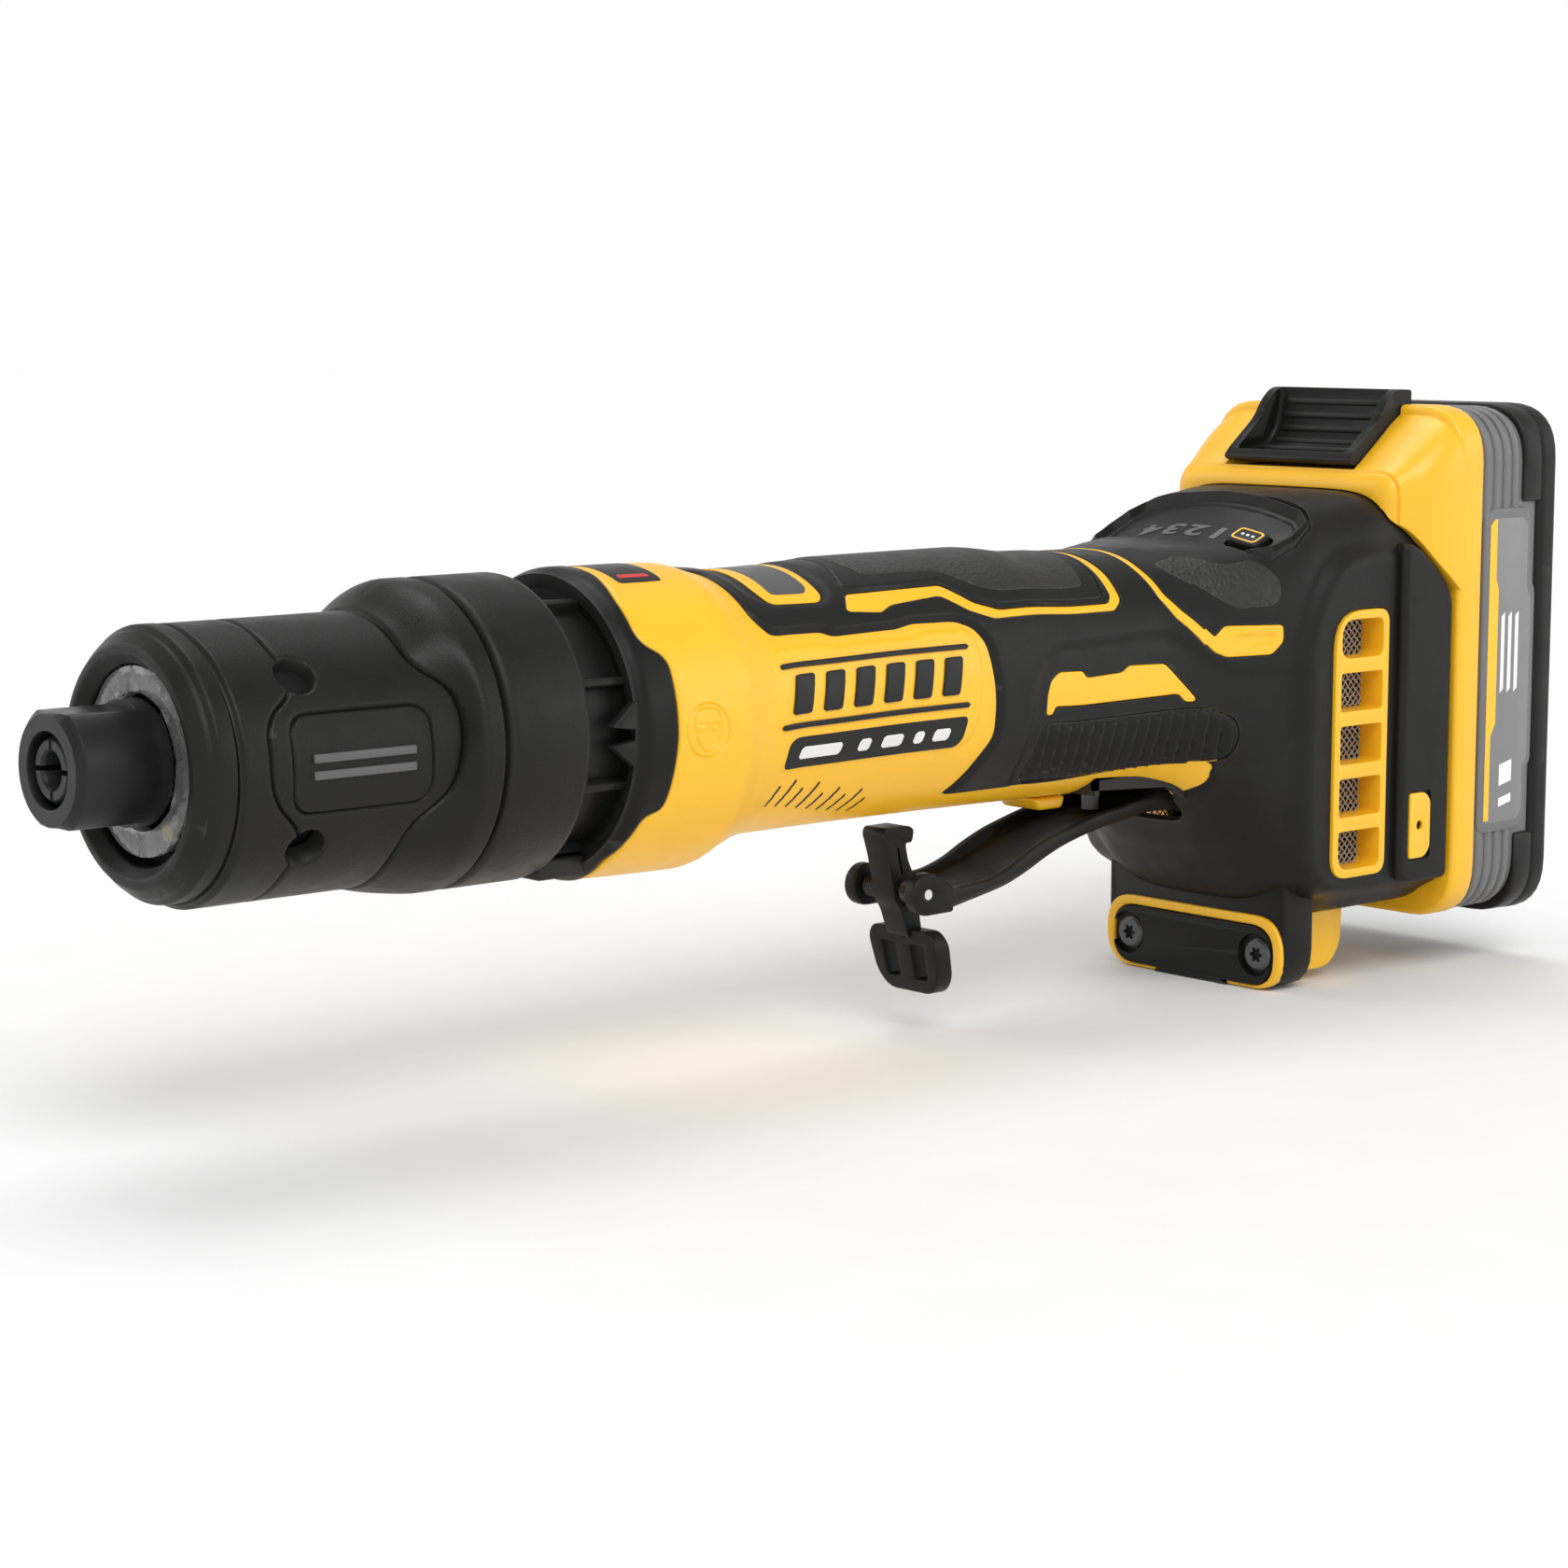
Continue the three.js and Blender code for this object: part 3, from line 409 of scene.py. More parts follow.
class Sheet:
    """A fine patch of a curved surface on the -Y side, cut along outlines and then thickened.

    Columns of data: x, s (distance round the section from its side line, up positive), u (distance
    from the bottom centre line), position, normal, and after those one for each named field.
    """

    def __init__(self, xs, s, u, position, normal):
        rows, columns = s.shape
        self.data = np.concatenate([
            np.broadcast_to(xs[:, None], s.shape)[..., None], s[..., None], u[..., None],
            position, normal,
        ], -1).reshape(rows * columns, 9)
        index = np.arange(rows * columns).reshape(rows, columns)
        quads = np.stack([index[:-1, :-1], index[1:, :-1], index[1:, 1:], index[:-1, 1:]], -1)
        self.faces = quads.reshape(-1, 4).tolist()
        self.fields = {}

    x = property(lambda self: self.data[:, 0])
    s = property(lambda self: self.data[:, 1])
    u = property(lambda self: self.data[:, 2])
    y = property(lambda self: self.data[:, 4])
    z = property(lambda self: self.data[:, 5])

    def __getitem__(self, field):
        return self.data[:, self.fields[field]]

    def add(self, field, values, levels=()):
        """Adds a field and an edge along each of its levels."""
        self.fields[field] = self.data.shape[1]
        self.data = np.concatenate([self.data, values[:, None]], -1)
        for level in levels:
            self.cut(field, level)
        return self

    def outline(self, field, outline, levels=(0.0,)):
        return self.add(field, signed(self.x, self.s, outline), levels)

    def cut(self, field, level):
        column = self.fields[field]
        values = self.data[:, column]
        side = np.where(values > level + 1e-9, 1, np.where(values < level - 1e-9, -1, 0)).tolist()
        rows, made, out, start = [], {}, [], len(self.data)
        for face in self.faces:
            signs = [side[i] for i in face]
            if 1 not in signs or -1 not in signs:
                out.append(face)
                continue
            high, low = [], []
            for i, j in zip(face, face[1:] + face[:1]):
                if side[i] >= 0:
                    high.append(i)
                if side[i] <= 0:
                    low.append(i)
                if side[i] * side[j] < 0:
                    key = (min(i, j), max(i, j))
                    if key not in made:
                        a, b = self.data[key[0]], self.data[key[1]]
                        row = a + (level - a[column]) / (b[column] - a[column]) * (b - a)
                        row[column] = level
                        made[key] = start + len(rows)
                        rows.append(row)
                    high.append(made[key])
                    low.append(made[key])
            out += [part for part in (high, low) if len(part) > 2]
        if rows:
            self.data = np.vstack([self.data, rows])
        self.faces = out

    def keep(self, field, level=0.0):
        values = self[field].tolist()
        self.faces = [f for f in self.faces if sum(values[i] for i in f) / len(f) > level]
        return self

    def lift(self, height):
        """Moves the surface along its normal."""
        self.data[:, 3:6] += self.data[:, 6:9] * np.asarray(height).reshape(-1, 1)
        return self

    def solid(self, name, thickness, mirrored=True):
        """The patch and its mirror image as one closed shell of that thickness."""
        used = sorted({i for f in self.faces for i in f})
        new = {old: k for k, old in enumerate(used)}
        top, normal = self.data[used, 3:6].copy(), self.data[used, 6:9].copy()
        faces = [[new[i] for i in f] for f in self.faces]
        if mirrored:
            middle = np.abs(top[:, 1]) < 0.02
            top[middle, 1] = 0
            normal[middle, 1] = 0
            flip = np.array([1, -1, 1])
            other = np.where(middle, np.arange(len(top)), len(top) + np.arange(len(top)))
            top, normal = np.vstack([top, top * flip]), np.vstack([normal, normal * flip])
            faces += [[int(other[i]) for i in f[::-1]] for f in faces]
            top[len(other):][middle] = top[:len(other)][middle]
        bottom = top - normal * thickness
        count = len(top)
        edges = {}
        for f in faces:
            for i, j in zip(f, f[1:] + f[:1]):
                edges[(i, j)] = True
        rim = [(i, j) for i, j in edges if (j, i) not in edges]
        everything = faces + [[count + i for i in f[::-1]] for f in faces]
        everything += [[j, i, count + i, count + j] for i, j in rim]
        made = make_object(name, np.vstack([top, bottom]), everything)
        work = bmesh.new()
        work.from_mesh(made.data)
        bmesh.ops.remove_doubles(work, verts=work.verts, dist=2e-6)
        loose = [v for v in work.verts if not v.link_faces]
        bmesh.ops.delete(work, geom=loose, context="VERTS")
        work.to_mesh(made.data)
        work.free()
        return made


# x, top, bottom, half width, and squareness of the upper and the lower half of the sections
HANDLE = np.array([
    (85.4, 28.9, -29.2, 28.8, 2, 2), (89, 29.8, -31.4, 29.8, 2, 2),
    (112, 29.7, -31.8, 29.8, 2.05, 2.05), (118, 28.6, -30, 28.8, 2.05, 2.05),
    (132, 27.7, -27.7, 27.8, 2.05, 2.05), (160, 28.4, -27.6, 27.3, 2.1, 2.1),
    (196, 28.5, -27.9, 26.6, 2.15, 2.15), (213, 26.9, -28.1, 26.3, 2.2, 2.2),
    (236, 26.6, -28.4, 26.9, 2.3, 2.3), (247, 27.2, -29.5, 28.2, 2.9, 2.5),
    (257, 27.2, -34, 30, 4.2, 2.8), (264, 27.6, -43, 31.4, 5, 3), (275, 32.6, -55, 33.2, 5, 3.6),
    (283, 36.8, -57.6, 33.9, 4.4, 4.2), (290, 37.4, -59.5, 34.4, 4.8, 4.6),
    (301, 38, -60, 34.8, 6, 5), (322, 38, -60, 34.8, 6.5, 5),
])


def monotone(table, x):
    """Smooth values between the table's rows, without overshoot."""
    at, values = table[:, 0], table[:, 1:]
    step = np.diff(at)[:, None]
    slope = np.diff(values, axis=0) / step
    inner = np.where(slope[:-1] * slope[1:] > 0,
                     2 * slope[:-1] * slope[1:] / np.where(slope[:-1] + slope[1:] == 0, 1,
                                                           slope[:-1] + slope[1:]), 0)
    tangent = np.vstack([slope[:1], inner, slope[-1:]])
    k = np.clip(np.searchsorted(at, x, side="right") - 1, 0, len(at) - 2)
    t = ((x - at[k]) / step[k, 0])[:, None]
    h = step[k]
    return ((2 * t ** 3 - 3 * t ** 2 + 1) * values[k] + (t ** 3 - 2 * t ** 2 + t) * h * tangent[k]
            + (3 * t ** 2 - 2 * t ** 3) * values[k + 1] + (t ** 3 - t ** 2) * h * tangent[k + 1])


def round_sections(xs, top, bottom, half, upper, lower, up0, up1, step, side_height):
    """Grid of points round a stack of sections, between two shares of the way up or down."""
    theta = np.linspace(-math.pi / 2, math.pi / 2, 721)
    cosine, sine = np.cos(theta), np.sin(theta)
    power = 2 / np.where(sine >= 0, upper[:, None], lower[:, None])
    y = -half[:, None] * np.abs(cosine) ** power
    y[:, [0, -1]] = 0
    rise = np.sign(sine) * np.abs(sine) ** power
    z = ((top + bottom) / 2)[:, None] + ((top - bottom) / 2)[:, None] * rise
    arc = np.hypot(np.diff(y, axis=1), np.diff(z, axis=1))
    run = np.concatenate([np.zeros((len(xs), 1)), np.cumsum(arc, axis=1)], 1)
    side = np.array([np.interp(side_height[k], z[k], run[k]) for k in range(len(xs))])
    longest = max(run[k, -1] * 0.5 for k in range(len(xs)))
    rows = max(3, int((up1 - up0) * longest / step) + 1)
    share = np.linspace(up0, up1, rows)
    s = np.zeros((len(xs), rows))
    at = np.zeros((len(xs), rows, 3))
    u = np.zeros_like(s)
    for k, x in enumerate(xs):
        wanted = np.where(share > 0, share * (run[k, -1] - side[k]), share * side[k])
        s[k] = wanted
        u[k] = wanted + side[k]
        at[k, :, 0] = x
        at[k, :, 1] = np.interp(u[k], run[k], y[k])
        at[k, :, 2] = np.interp(u[k], run[k], z[k])
    along = np.gradient(at, axis=0)
    around = np.gradient(at, axis=1)
    normal = np.cross(along, around)
    normal /= np.maximum(np.linalg.norm(normal, axis=2), 1e-9)[..., None]
    outward = np.sign(np.median(np.sum(normal[..., 1:] * at[..., 1:], -1)))
    normal *= outward
    return Sheet(xs, s, u, at, normal)


def handle_sheet(x0, x1, s0=-200.0, s1=200.0, step=1.0):
    """A patch of the handle between two x and, roughly, two distances from the side line."""
    xs = np.linspace(x0, x1, max(3, int((x1 - x0) / step) + 1))
    top, bottom, half, upper, lower = monotone(HANDLE, xs).T
    side_height = np.where(xs < 247, (top + bottom) / 2, -0.5)
    shortest = 43.5 if x0 < 250 else 52.0
    return round_sections(xs, top, bottom, half, upper, lower,
                          max(-1.0, s0 / shortest), min(1.0, s1 / shortest), step, side_height)


SHELL_DEPTH = 1.1       # of the yellow shell under the handle's outer surface
FRAME_RISE = 0.28       # of the raised frame round the side label
POCKET_DEPTH = 0.9      # of the hollow in the grip that holds the ribs and the badge


def shell_level(x):
    """Height of the yellow shell, which sinks behind its front collar."""
    return -SHELL_DEPTH * ramp(x, 114, 126)


# ---------------------------------------------------------------- handle

FAR = 120.0     # beyond every section's top or bottom line
BEYOND = 400    # past the battery end

RIM_EDGE = [(92.5, 39.5), (90.5, 30), (90, 21), (91, 18.5), (94.5, 16), (95.5, 14), (95.5, 0),
            (95, -6), (94.5, -12), (94, -15), (90, -16.5), (89, -21.5), (87.5, -30), (89.5, -42)]
GRIP_EDGE = [
    (330, FAR), (113.5, FAR), (114, 41), (119.5, 38.5), (120.5, 31), (121, 22.5), (124.5, 18),
    (126.5, 17.3), (138.5, 17), (141, 15.7), (159, 15.7), (163, 16.6), (175.5, 16.3), (180, 14.5),
    (182.5, 11), (184, 0.5), (184.5, -9.5), (181.5, -14.5), (176.5, -25.5), (205, -25),
    (230, -23.5), (246, -22), (251.5, -22), (253.5, -24.5), (253.5, -27.5), (252, -31.5),
    (251, -40), (249, -FAR), (330, -FAR),
]
BADGE_EDGE = [(200, -6), (202, -6), (202.5, -4), (240, -3), (242, -5), (244.5, -5), (245, -4.3),
              (236, 4), (225, 4.2), (223, 2.8), (212, 2.2), (211, 3.8), (203.5, 3.5), (201, 1.5),
              (200, -1.5)]
PAD_EDGE = [(153, FAR), (153, 38), (149.5, 27), (156.5, 26.4), (176.5, 26.8), (183, 21.4),
            (190, 19.2), (204, 19.4), (221.5, 19.7), (223.3, 26.8), (224.2, 40), (224.2, FAR)]
PAD_LINE = [(147, 20.8), (156, 19.7), (159.5, 21.3), (174, 22.6), (180, 18.4), (186.5, 16),
            (204, 16.3), (223.5, 16.6), (226.5, 19), (227.3, 27), (227, FAR), (225, FAR),
            (225.2, 37), (224.6, 26.8), (224, 20.2), (222.5, 18.5), (204, 18.2), (189, 18),
            (182.5, 20.2), (176, 25.6), (156, 25.3), (149.5, 25.4)]
TAG_LINE = [(236.8, FAR), (236.6, 28), (237.6, 19), (240, 14), (249, 5.3), (252.5, 4),
            (264.8, 4), (268, 6.7), (268, 10.5), (252, 11), (250.5, 9.6), (249.4, 8.6),
            (242, 15.4), (239.3, 19.6), (238.2, 28), (238.4, FAR)]
RIB_EDGE = [(199.5, -7.6), (246.5, -6.3), (256, -10), (257.5, -14), (256, -19), (252, -20.6),
            (230, -21.9), (206, -23), (199, -23.4), (197.6, -20)]
POCKET_EDGE = [(194, -24), (195.5, 1), (201, 9.3), (238.5, 11.4), (252, 1.4), (276, 0.4),
               (280, -10), (262, -23)]
VENT_BULGE = rounded([(273, -53), (273, 8), (283, 24), (330, 26), (330, -53)], [14, 9, 9, 9, 9])
MOUTH = rounded([(226, -20), (226, 14.2), (247.5, 16.5), (251, 14), (259, 12.2), (259, -20)], 4)
SHELL_MOUTH = rounded([(226, -20), (226, 14.2), (247.5, 16.5), (251, 14), (257, 13), (277, 13),
                       (277, -20)], 4)
BLADE_SLOT = rounded([(158, -20), (158, 4.6), (186, 4.6), (186, -20)], 1.5)

# Plan outline, in x and y, of the sunken panel with the speed digits and the button.
VISOR_HALF = [(263.2, -8), (263.5, -18), (264.8, -24.5), (268.5, -27.8), (275, -28.8),
              (281, -27.8), (283.6, -24), (284.6, -12), (285, 0)]
VISOR_EDGE = np.array(VISOR_HALF + [(x, -y) for x, y in VISOR_HALF[-2::-1]])
VISOR_SLOPE = 0.44
VISOR_ARCH = 3.7 / 27 ** 2


def visor_level(x, y):
    """Height of the panel's sunken face: it climbs towards the battery and is slightly dished."""
    dish = 0.5 * np.sin(np.clip((x - 263.5) / 19.5, 0, 1) * math.pi)
    return 26.4 + VISOR_SLOPE * (x - 263.5) - VISOR_ARCH * y ** 2 - dish


def visor_place(x, y, lift):
    """Matrix that stands a small piece on the panel, with its own x across and its y forward."""
    step = 0.5
    along = np.array([2 * step, 0, visor_level(x + step, y) - visor_level(x - step, y)])
    across = np.array([0, 2 * step, visor_level(x, y + step) - visor_level(x, y - step)])
    along /= np.linalg.norm(along)
    across /= np.linalg.norm(across)
    normal = np.cross(along, across)
    turn = Matrix(np.stack([across, -along, normal], 1).tolist()).to_4x4()
    at = np.array([x, y, visor_level(x, y)]) + lift * normal
    return Matrix.Translation(to_frame([at])[0]) @ turn


VENT_LOW, VENT_HIGH = tool_box("vent_frame_right")
VENT_X = (VENT_LOW[0], VENT_HIGH[0])
VENT_Z = (VENT_LOW[2], VENT_HIGH[2])


def vent_outline(grow=0.0):
    x0, x1 = VENT_X[0] - grow, VENT_X[1] + grow
    z0, z1 = VENT_Z[0] - grow, VENT_Z[1] + grow
    return rounded([(x0, z0), (x1, z0), (x1, z1), (x0, z1)], [5, 3.5, 3.5, 11])


def rounded_edge(distance, depth=0.45, width=0.9):
    """Height of a rounded edge: 0 well inside, -depth at the outline."""
    t = np.clip(distance / width, 0, 1)
    return -depth * (1 - np.sqrt(np.clip(1 - (1 - t) ** 2, 0, 1)))


def groove(distance, depth, half_width):
    return -depth * np.clip(1 - np.abs(distance) / half_width, 0, 1)


def build_yellow_shell():
    sheet = handle_sheet(86, 258, step=0.9)
    yellow = [(BEYOND, FAR), (92.5, FAR), *RIM_EDGE, (89.5, -FAR), (BEYOND, -FAR)]
    sheet.outline("edge", rounded(yellow, 2.0), (0, 0.12, 0.4, 0.9)).keep("edge")
    sheet.add("mouth", -signed(sheet.x, sheet.u, SHELL_MOUTH), (0,)).keep("mouth")
    sheet.add("slot", -signed(sheet.x, sheet.u, BLADE_SLOT), (0,)).keep("slot")
    frame_line = rounded([(123.5, -10.5), (123.5, 14.5), (137.5, 14.5), (140.5, 13.6),
                          (163.5, 13.6), (166.5, 14.6), (178.5, 14.5), (180.3, 10),
                          (179.8, -3), (178, -9), (176, -10.6), (126.5, -11.6)], 3)
    sheet.outline("frame", frame_line, (-0.7, -0.25, 0.25, 0.7))
    ring = 5.3 - np.hypot(sheet.x - 102.7, sheet.s - 0.6)
    sheet.add("ring", ring, (-0.3, 0, 0.3))
    face = rounded([(99.2, 2), (100, 4.6), (102.7, 5), (105.4, 4.6), (106.2, 2), (105.4, -1.5),
                    (103.6, -3.6), (101.8, -3.6), (100, -1.5)], 1.2)
    sheet.outline("face", [(x, s) for x, s in face], (-0.22, 0, 0.22))
    lenses = -np.minimum(*(signed(sheet.x, sheet.s, rounded(
        [(c - 1.25, 0.4), (c + 1.25, 0.4), (c + 1.1, 2), (c - 1.1, 2)], 0.5)) * -1
        for c in (101.2, 104.2)))
    sheet.add("goggles", lenses, (-0.2, 0, 0.2))
    height = shell_level(sheet.x) + rounded_edge(sheet["edge"], 0.5, 0.9)
    height += FRAME_RISE * ramp(sheet["frame"], -0.7, 0.7)
    height -= 1.6 * ramp(signed(sheet.x, sheet.s, GRIP_EDGE), 2.5, 4.5)
    height += groove(sheet["ring"], 0.28, 0.3) + groove(sheet["face"], 0.22, 0.22)
    height += groove(sheet["goggles"], 0.22, 0.2)
    shell = sheet.lift(height).solid("shell_yellow", 2.2)
    piece(shell, "housing", YELLOW, "yellow_plastic", "housing_right", "housing_left")


def build_exhaust_rim():
    sheet = handle_sheet(85.4, 100, step=0.8)
    rim = [(80, FAR), (92.3, FAR), *[(x - 0.35, s) for x, s in RIM_EDGE], (89.2, -FAR), (80, -FAR)]
    sheet.outline("edge", rounded(rim, 1.6), (0, 0.12, 0.4, 0.9)).keep("edge")
    height = rounded_edge(sheet["edge"], 0.4, 0.8) + 0.25 * ramp(sheet.x, 85.4, 88) - 0.25
    rim_piece = sheet.lift(height + 0.25).solid("exhaust_rim", 3.0)
    piece(rim_piece, "housing", BLACK, "black_plastic")


def build_overmold():
    sheet = handle_sheet(112, 321.8, step=1.0)
    sheet.outline("grip", rounded(GRIP_EDGE, 1.8), (0, 0.35, 1.5, 2.1)).keep("grip")
    sheet.outline("pad", rounded(PAD_EDGE, 1.6), (-0.15,))
    sheet.outline("line", rounded(PAD_LINE, 0.8), (-0.12,))
    sheet.outline("tag", rounded(TAG_LINE, 0.8), (-0.12,))
    for field in ("pad", "line", "tag"):
        sheet.data[:, sheet.fields[field]] *= -1
        sheet.keep(field, 0.12)
    sheet.outline("ribs", rounded(RIB_EDGE, 2.5), (-0.2,))
    sheet.outline("badge", rounded(BADGE_EDGE, 0.8), (-0.2,))
    for field in ("ribs", "badge"):
        sheet.data[:, sheet.fields[field]] *= -1
        sheet.keep(field, 0.2)
    sheet.add("mouth", -signed(sheet.x, sheet.u, MOUTH), (0, 0.6)).keep("mouth")
    vent = -signed(sheet.x, np.where(sheet.y < -25, sheet.z, -FAR), vent_outline(0.3))
    sheet.add("vent", vent, (0, 0.5, 1.2)).keep("vent")
    visor = -signed(sheet.x, np.where(sheet.z > 0, sheet.y, -FAR), VISOR_EDGE)
    sheet.add("visor", visor, (0.3, 2.5)).keep("visor", 0.3)
    grip = sheet["grip"]
    height = -0.95 * (1 - np.clip((grip - 0.35) / 1.3, 0, 1)) - 0.3 * (1 - ramp(grip, 0, 0.4))
    height += pocket_level(sheet.x, sheet.s)
    bulge = signed(sheet.x, np.where(sheet.y < -15, sheet.z, -FAR), VENT_BULGE)
    height += rounded_edge(sheet["vent"], 0.6, 1.2)
    label_well = signed(sheet.x, sheet.s, rounded([(124.5, FAR), (124.5, 30), (128, 24.5),
                                                   (143, 23.5), (146, 27), (148, FAR)], 4))
    height -= 0.45 * ramp(label_well, -1.0, 0.8)
    sheet.lift(height)
    swell = ramp(bulge, -2.8, 2.2)
    sheet.data[:, 4] += swell * (-35.1 - sheet.data[:, 4])
    cover = sheet.solid("grip_overmold", 1.5)
    piece(cover, "housing", RUBBER, "black_rubber", "grip_cover_right", "grip_cover_left")


def handle_patch(name, outline, finish, slot, lift, depth, edge=0.25, width=0.5, step=0.7,
                 radius=1.0, shape=None, mirrored=True, nodes=()):
    """A raised or inlaid patch of the handle, with a rounded edge."""
    corners = np.asarray(outline, float)
    x0, x1 = corners[:, 0].min() - 1.5, corners[:, 0].max() + 1.5
    sheet = handle_sheet(max(x0, 85.4), x1, corners[:, 1].min() - 3, corners[:, 1].max() + 3, step)
    sheet.outline("edge", rounded(outline, radius), (0, width * 0.3, width)).keep("edge")
    height = lift + rounded_edge(sheet["edge"], edge, width)
    if shape is not None:
        height = height + shape(sheet)
    made = sheet.lift(height).solid(name, depth, mirrored)
    return piece(made, "housing", finish, slot, *nodes)


def pocket_level(x, s):
    return -POCKET_DEPTH * ramp(signed(x, s, rounded(POCKET_EDGE, 6)), -1.2, 1.6)


def rib_height(sheet):
    """Shingled ribs that lean a little as they go down."""
    pitch, first, rising = 3.4, 201.5, 0.74
    lean = 0.1 * (sheet.s + 8) + 0.016 * (sheet.s + 8) ** 2
    phase = np.mod((sheet.x - first - lean) / pitch, 1)
    shingle = np.where(phase < rising, phase / rising, (1 - phase) / (1 - rising))
    fade = ramp(sheet["edge"], 0.3, 1.4)
    return pocket_level(sheet.x, sheet.s) + (1.35 * shingle ** 0.8 - 0.2) * fade


def build_handle_trim():
    handle_patch("pad_line_yellow", PAD_LINE, YELLOW, "yellow_plastic", -0.12, 1.3, step=0.6)
    tag_slot = rounded([(254.5, 6.4), (264.5, 6.2), (265.8, 8.6), (254.5, 8.8)], 0.8)
    handle_patch(
        "tag_line_yellow", TAG_LINE, YELLOW, "yellow_plastic", 0.0, 1.6, step=0.6,
        shape=lambda p: -0.5 * ramp(signed(p.x, p.s, tag_slot), -0.2, 0.4),
    )
    handle_patch("grip_pad", PAD_EDGE, RUBBER, "black_rubber", 0.1, 1.4, edge=0.4, width=0.8,
                 nodes=("top_grip_pad",))
    inner = [(156, FAR), (156, 38), (158, 30.5), (178, 30.2), (186, 24), (192, 22.4),
             (204, 22.6), (217.5, 23), (219.5, 29), (220.5, 40), (220.5, FAR)]
    handle_patch("grip_pad_texture", inner, TEXTURED, "black_rubber", 0.3, 0.5, edge=0.18,
                 width=0.6, radius=2.0)
    handle_patch("badge_yellow", BADGE_EDGE, YELLOW, "yellow_plastic", 0.0, 1.4, step=0.6,
                 shape=lambda p: pocket_level(p.x, p.s))
    handle_patch("side_ribs", RIB_EDGE, RUBBER, "black_rubber", 0.0, 1.6, step=0.42, radius=2.5,
                 shape=rib_height)
    shoulder = [(241.5, 29), (244, 24), (252, 16.5), (256, 14.5), (267, 15), (268.5, 20),
                (264, 26.5), (256, 25), (249.5, 31)]
    handle_patch("shoulder_texture", shoulder, TEXTURED, "black_rubber", 0.06, 0.5, edge=0.06,
                 width=0.8, radius=3)
    build_marks()


def build_marks():
    """Generic print in the places of the labels: bars and blocks, and no lettering."""
    lift = FRAME_RISE - SHELL_DEPTH
    label = rounded([(125.5, -11), (173.5, -11), (175.3, -9.4), (176.3, -4.2), (128, -4.2),
                     (126.2, -5.4)], 1.4)
    handle_patch("label_black", label, BLACK_INK, "label_film", lift + 0.12, 0.35, edge=0.05,
                 width=0.3, radius=0.2)
    for k, (a, b) in enumerate([(129, 141), (145, 149), (151.5, 158), (160.5, 164), (166, 171.5)]):
        bar = [(a, -9), (b - 0.8, -9), (b, -6.4), (a + 0.8, -6.4)]
        handle_patch(f"label_bar_{k + 1}", bar, WHITE_INK, "label_film", lift + 0.19, 0.12,
                     edge=0.03, width=0.2, radius=0.3)
    for k, (s, x0, x1) in enumerate([(10.6, 124.5, 177), (-1.7, 123.5, 176.2)]):
        handle_patch(f"nameplate_line_{k + 1}", [(x0, s - 0.55), (x1, s - 0.55), (x1, s + 0.55),
                                                 (x0, s + 0.55)],
                     BLACK_INK, "black_plastic", lift + 0.5, 0.8, edge=0.1, width=0.3, radius=0.2)
    for k in range(6):
        x = 126.5 + 8.3 * k
        slant = [(x, 0.6), (x + 5, 0.6), (x + 6.8, 8.6), (x + 1.8, 8.6)]
        handle_patch(f"nameplate_block_{k + 1}", slant, BLACK_INK, "black_plastic", lift + 0.55,
                     0.8, edge=0.15, width=0.35, radius=0.5)
    for k in range(9):
        x, length = 124.5 + 3.4 * k, (5.5, 7.5, 6, 8)[k % 4]
        s = -20.5 - 0.95 * k
        stroke = [(x, s), (x + 0.8, s), (x + 0.8 + 0.35 * length, s + length),
                  (x + 0.35 * length, s + length)]
        handle_patch(f"print_stroke_{k + 1}", stroke, BLACK_INK, "label_film", 0.05 - SHELL_DEPTH, 0.12,
                     edge=0.02, width=0.2, radius=0.1)
    handle_patch("top_label_dark", [(95, 35), (105.5, 35), (106, 37), (106, FAR), (95, FAR)],
                 BLACK_INK, "label_film", 0.1, 0.3, edge=0.05, width=0.3, radius=1.2)
    handle_patch("top_label_red", [(96.5, 36.8), (104, 36.8), (104, 38.6), (96.5, 38.6)],
                 RED_INK, "label_film", 0.16, 0.12, edge=0.02, width=0.2, radius=0.3)
    handle_patch("crown_label_yellow", [(129, 24.8), (142, 24.2), (143.5, 26), (144.5, FAR),
                                        (129.5, FAR), (127.5, 30)],
                 YELLOW, "label_film", -0.2, 0.5, edge=0.1, width=0.4, radius=2)
    handle_patch("crown_label_dark", [(131, 27.5), (140, 27), (141.5, 29), (142, FAR), (132, FAR)],
                 GREY_INK, "label_film", -0.12, 0.4, edge=0.05, width=0.3, radius=1.5)


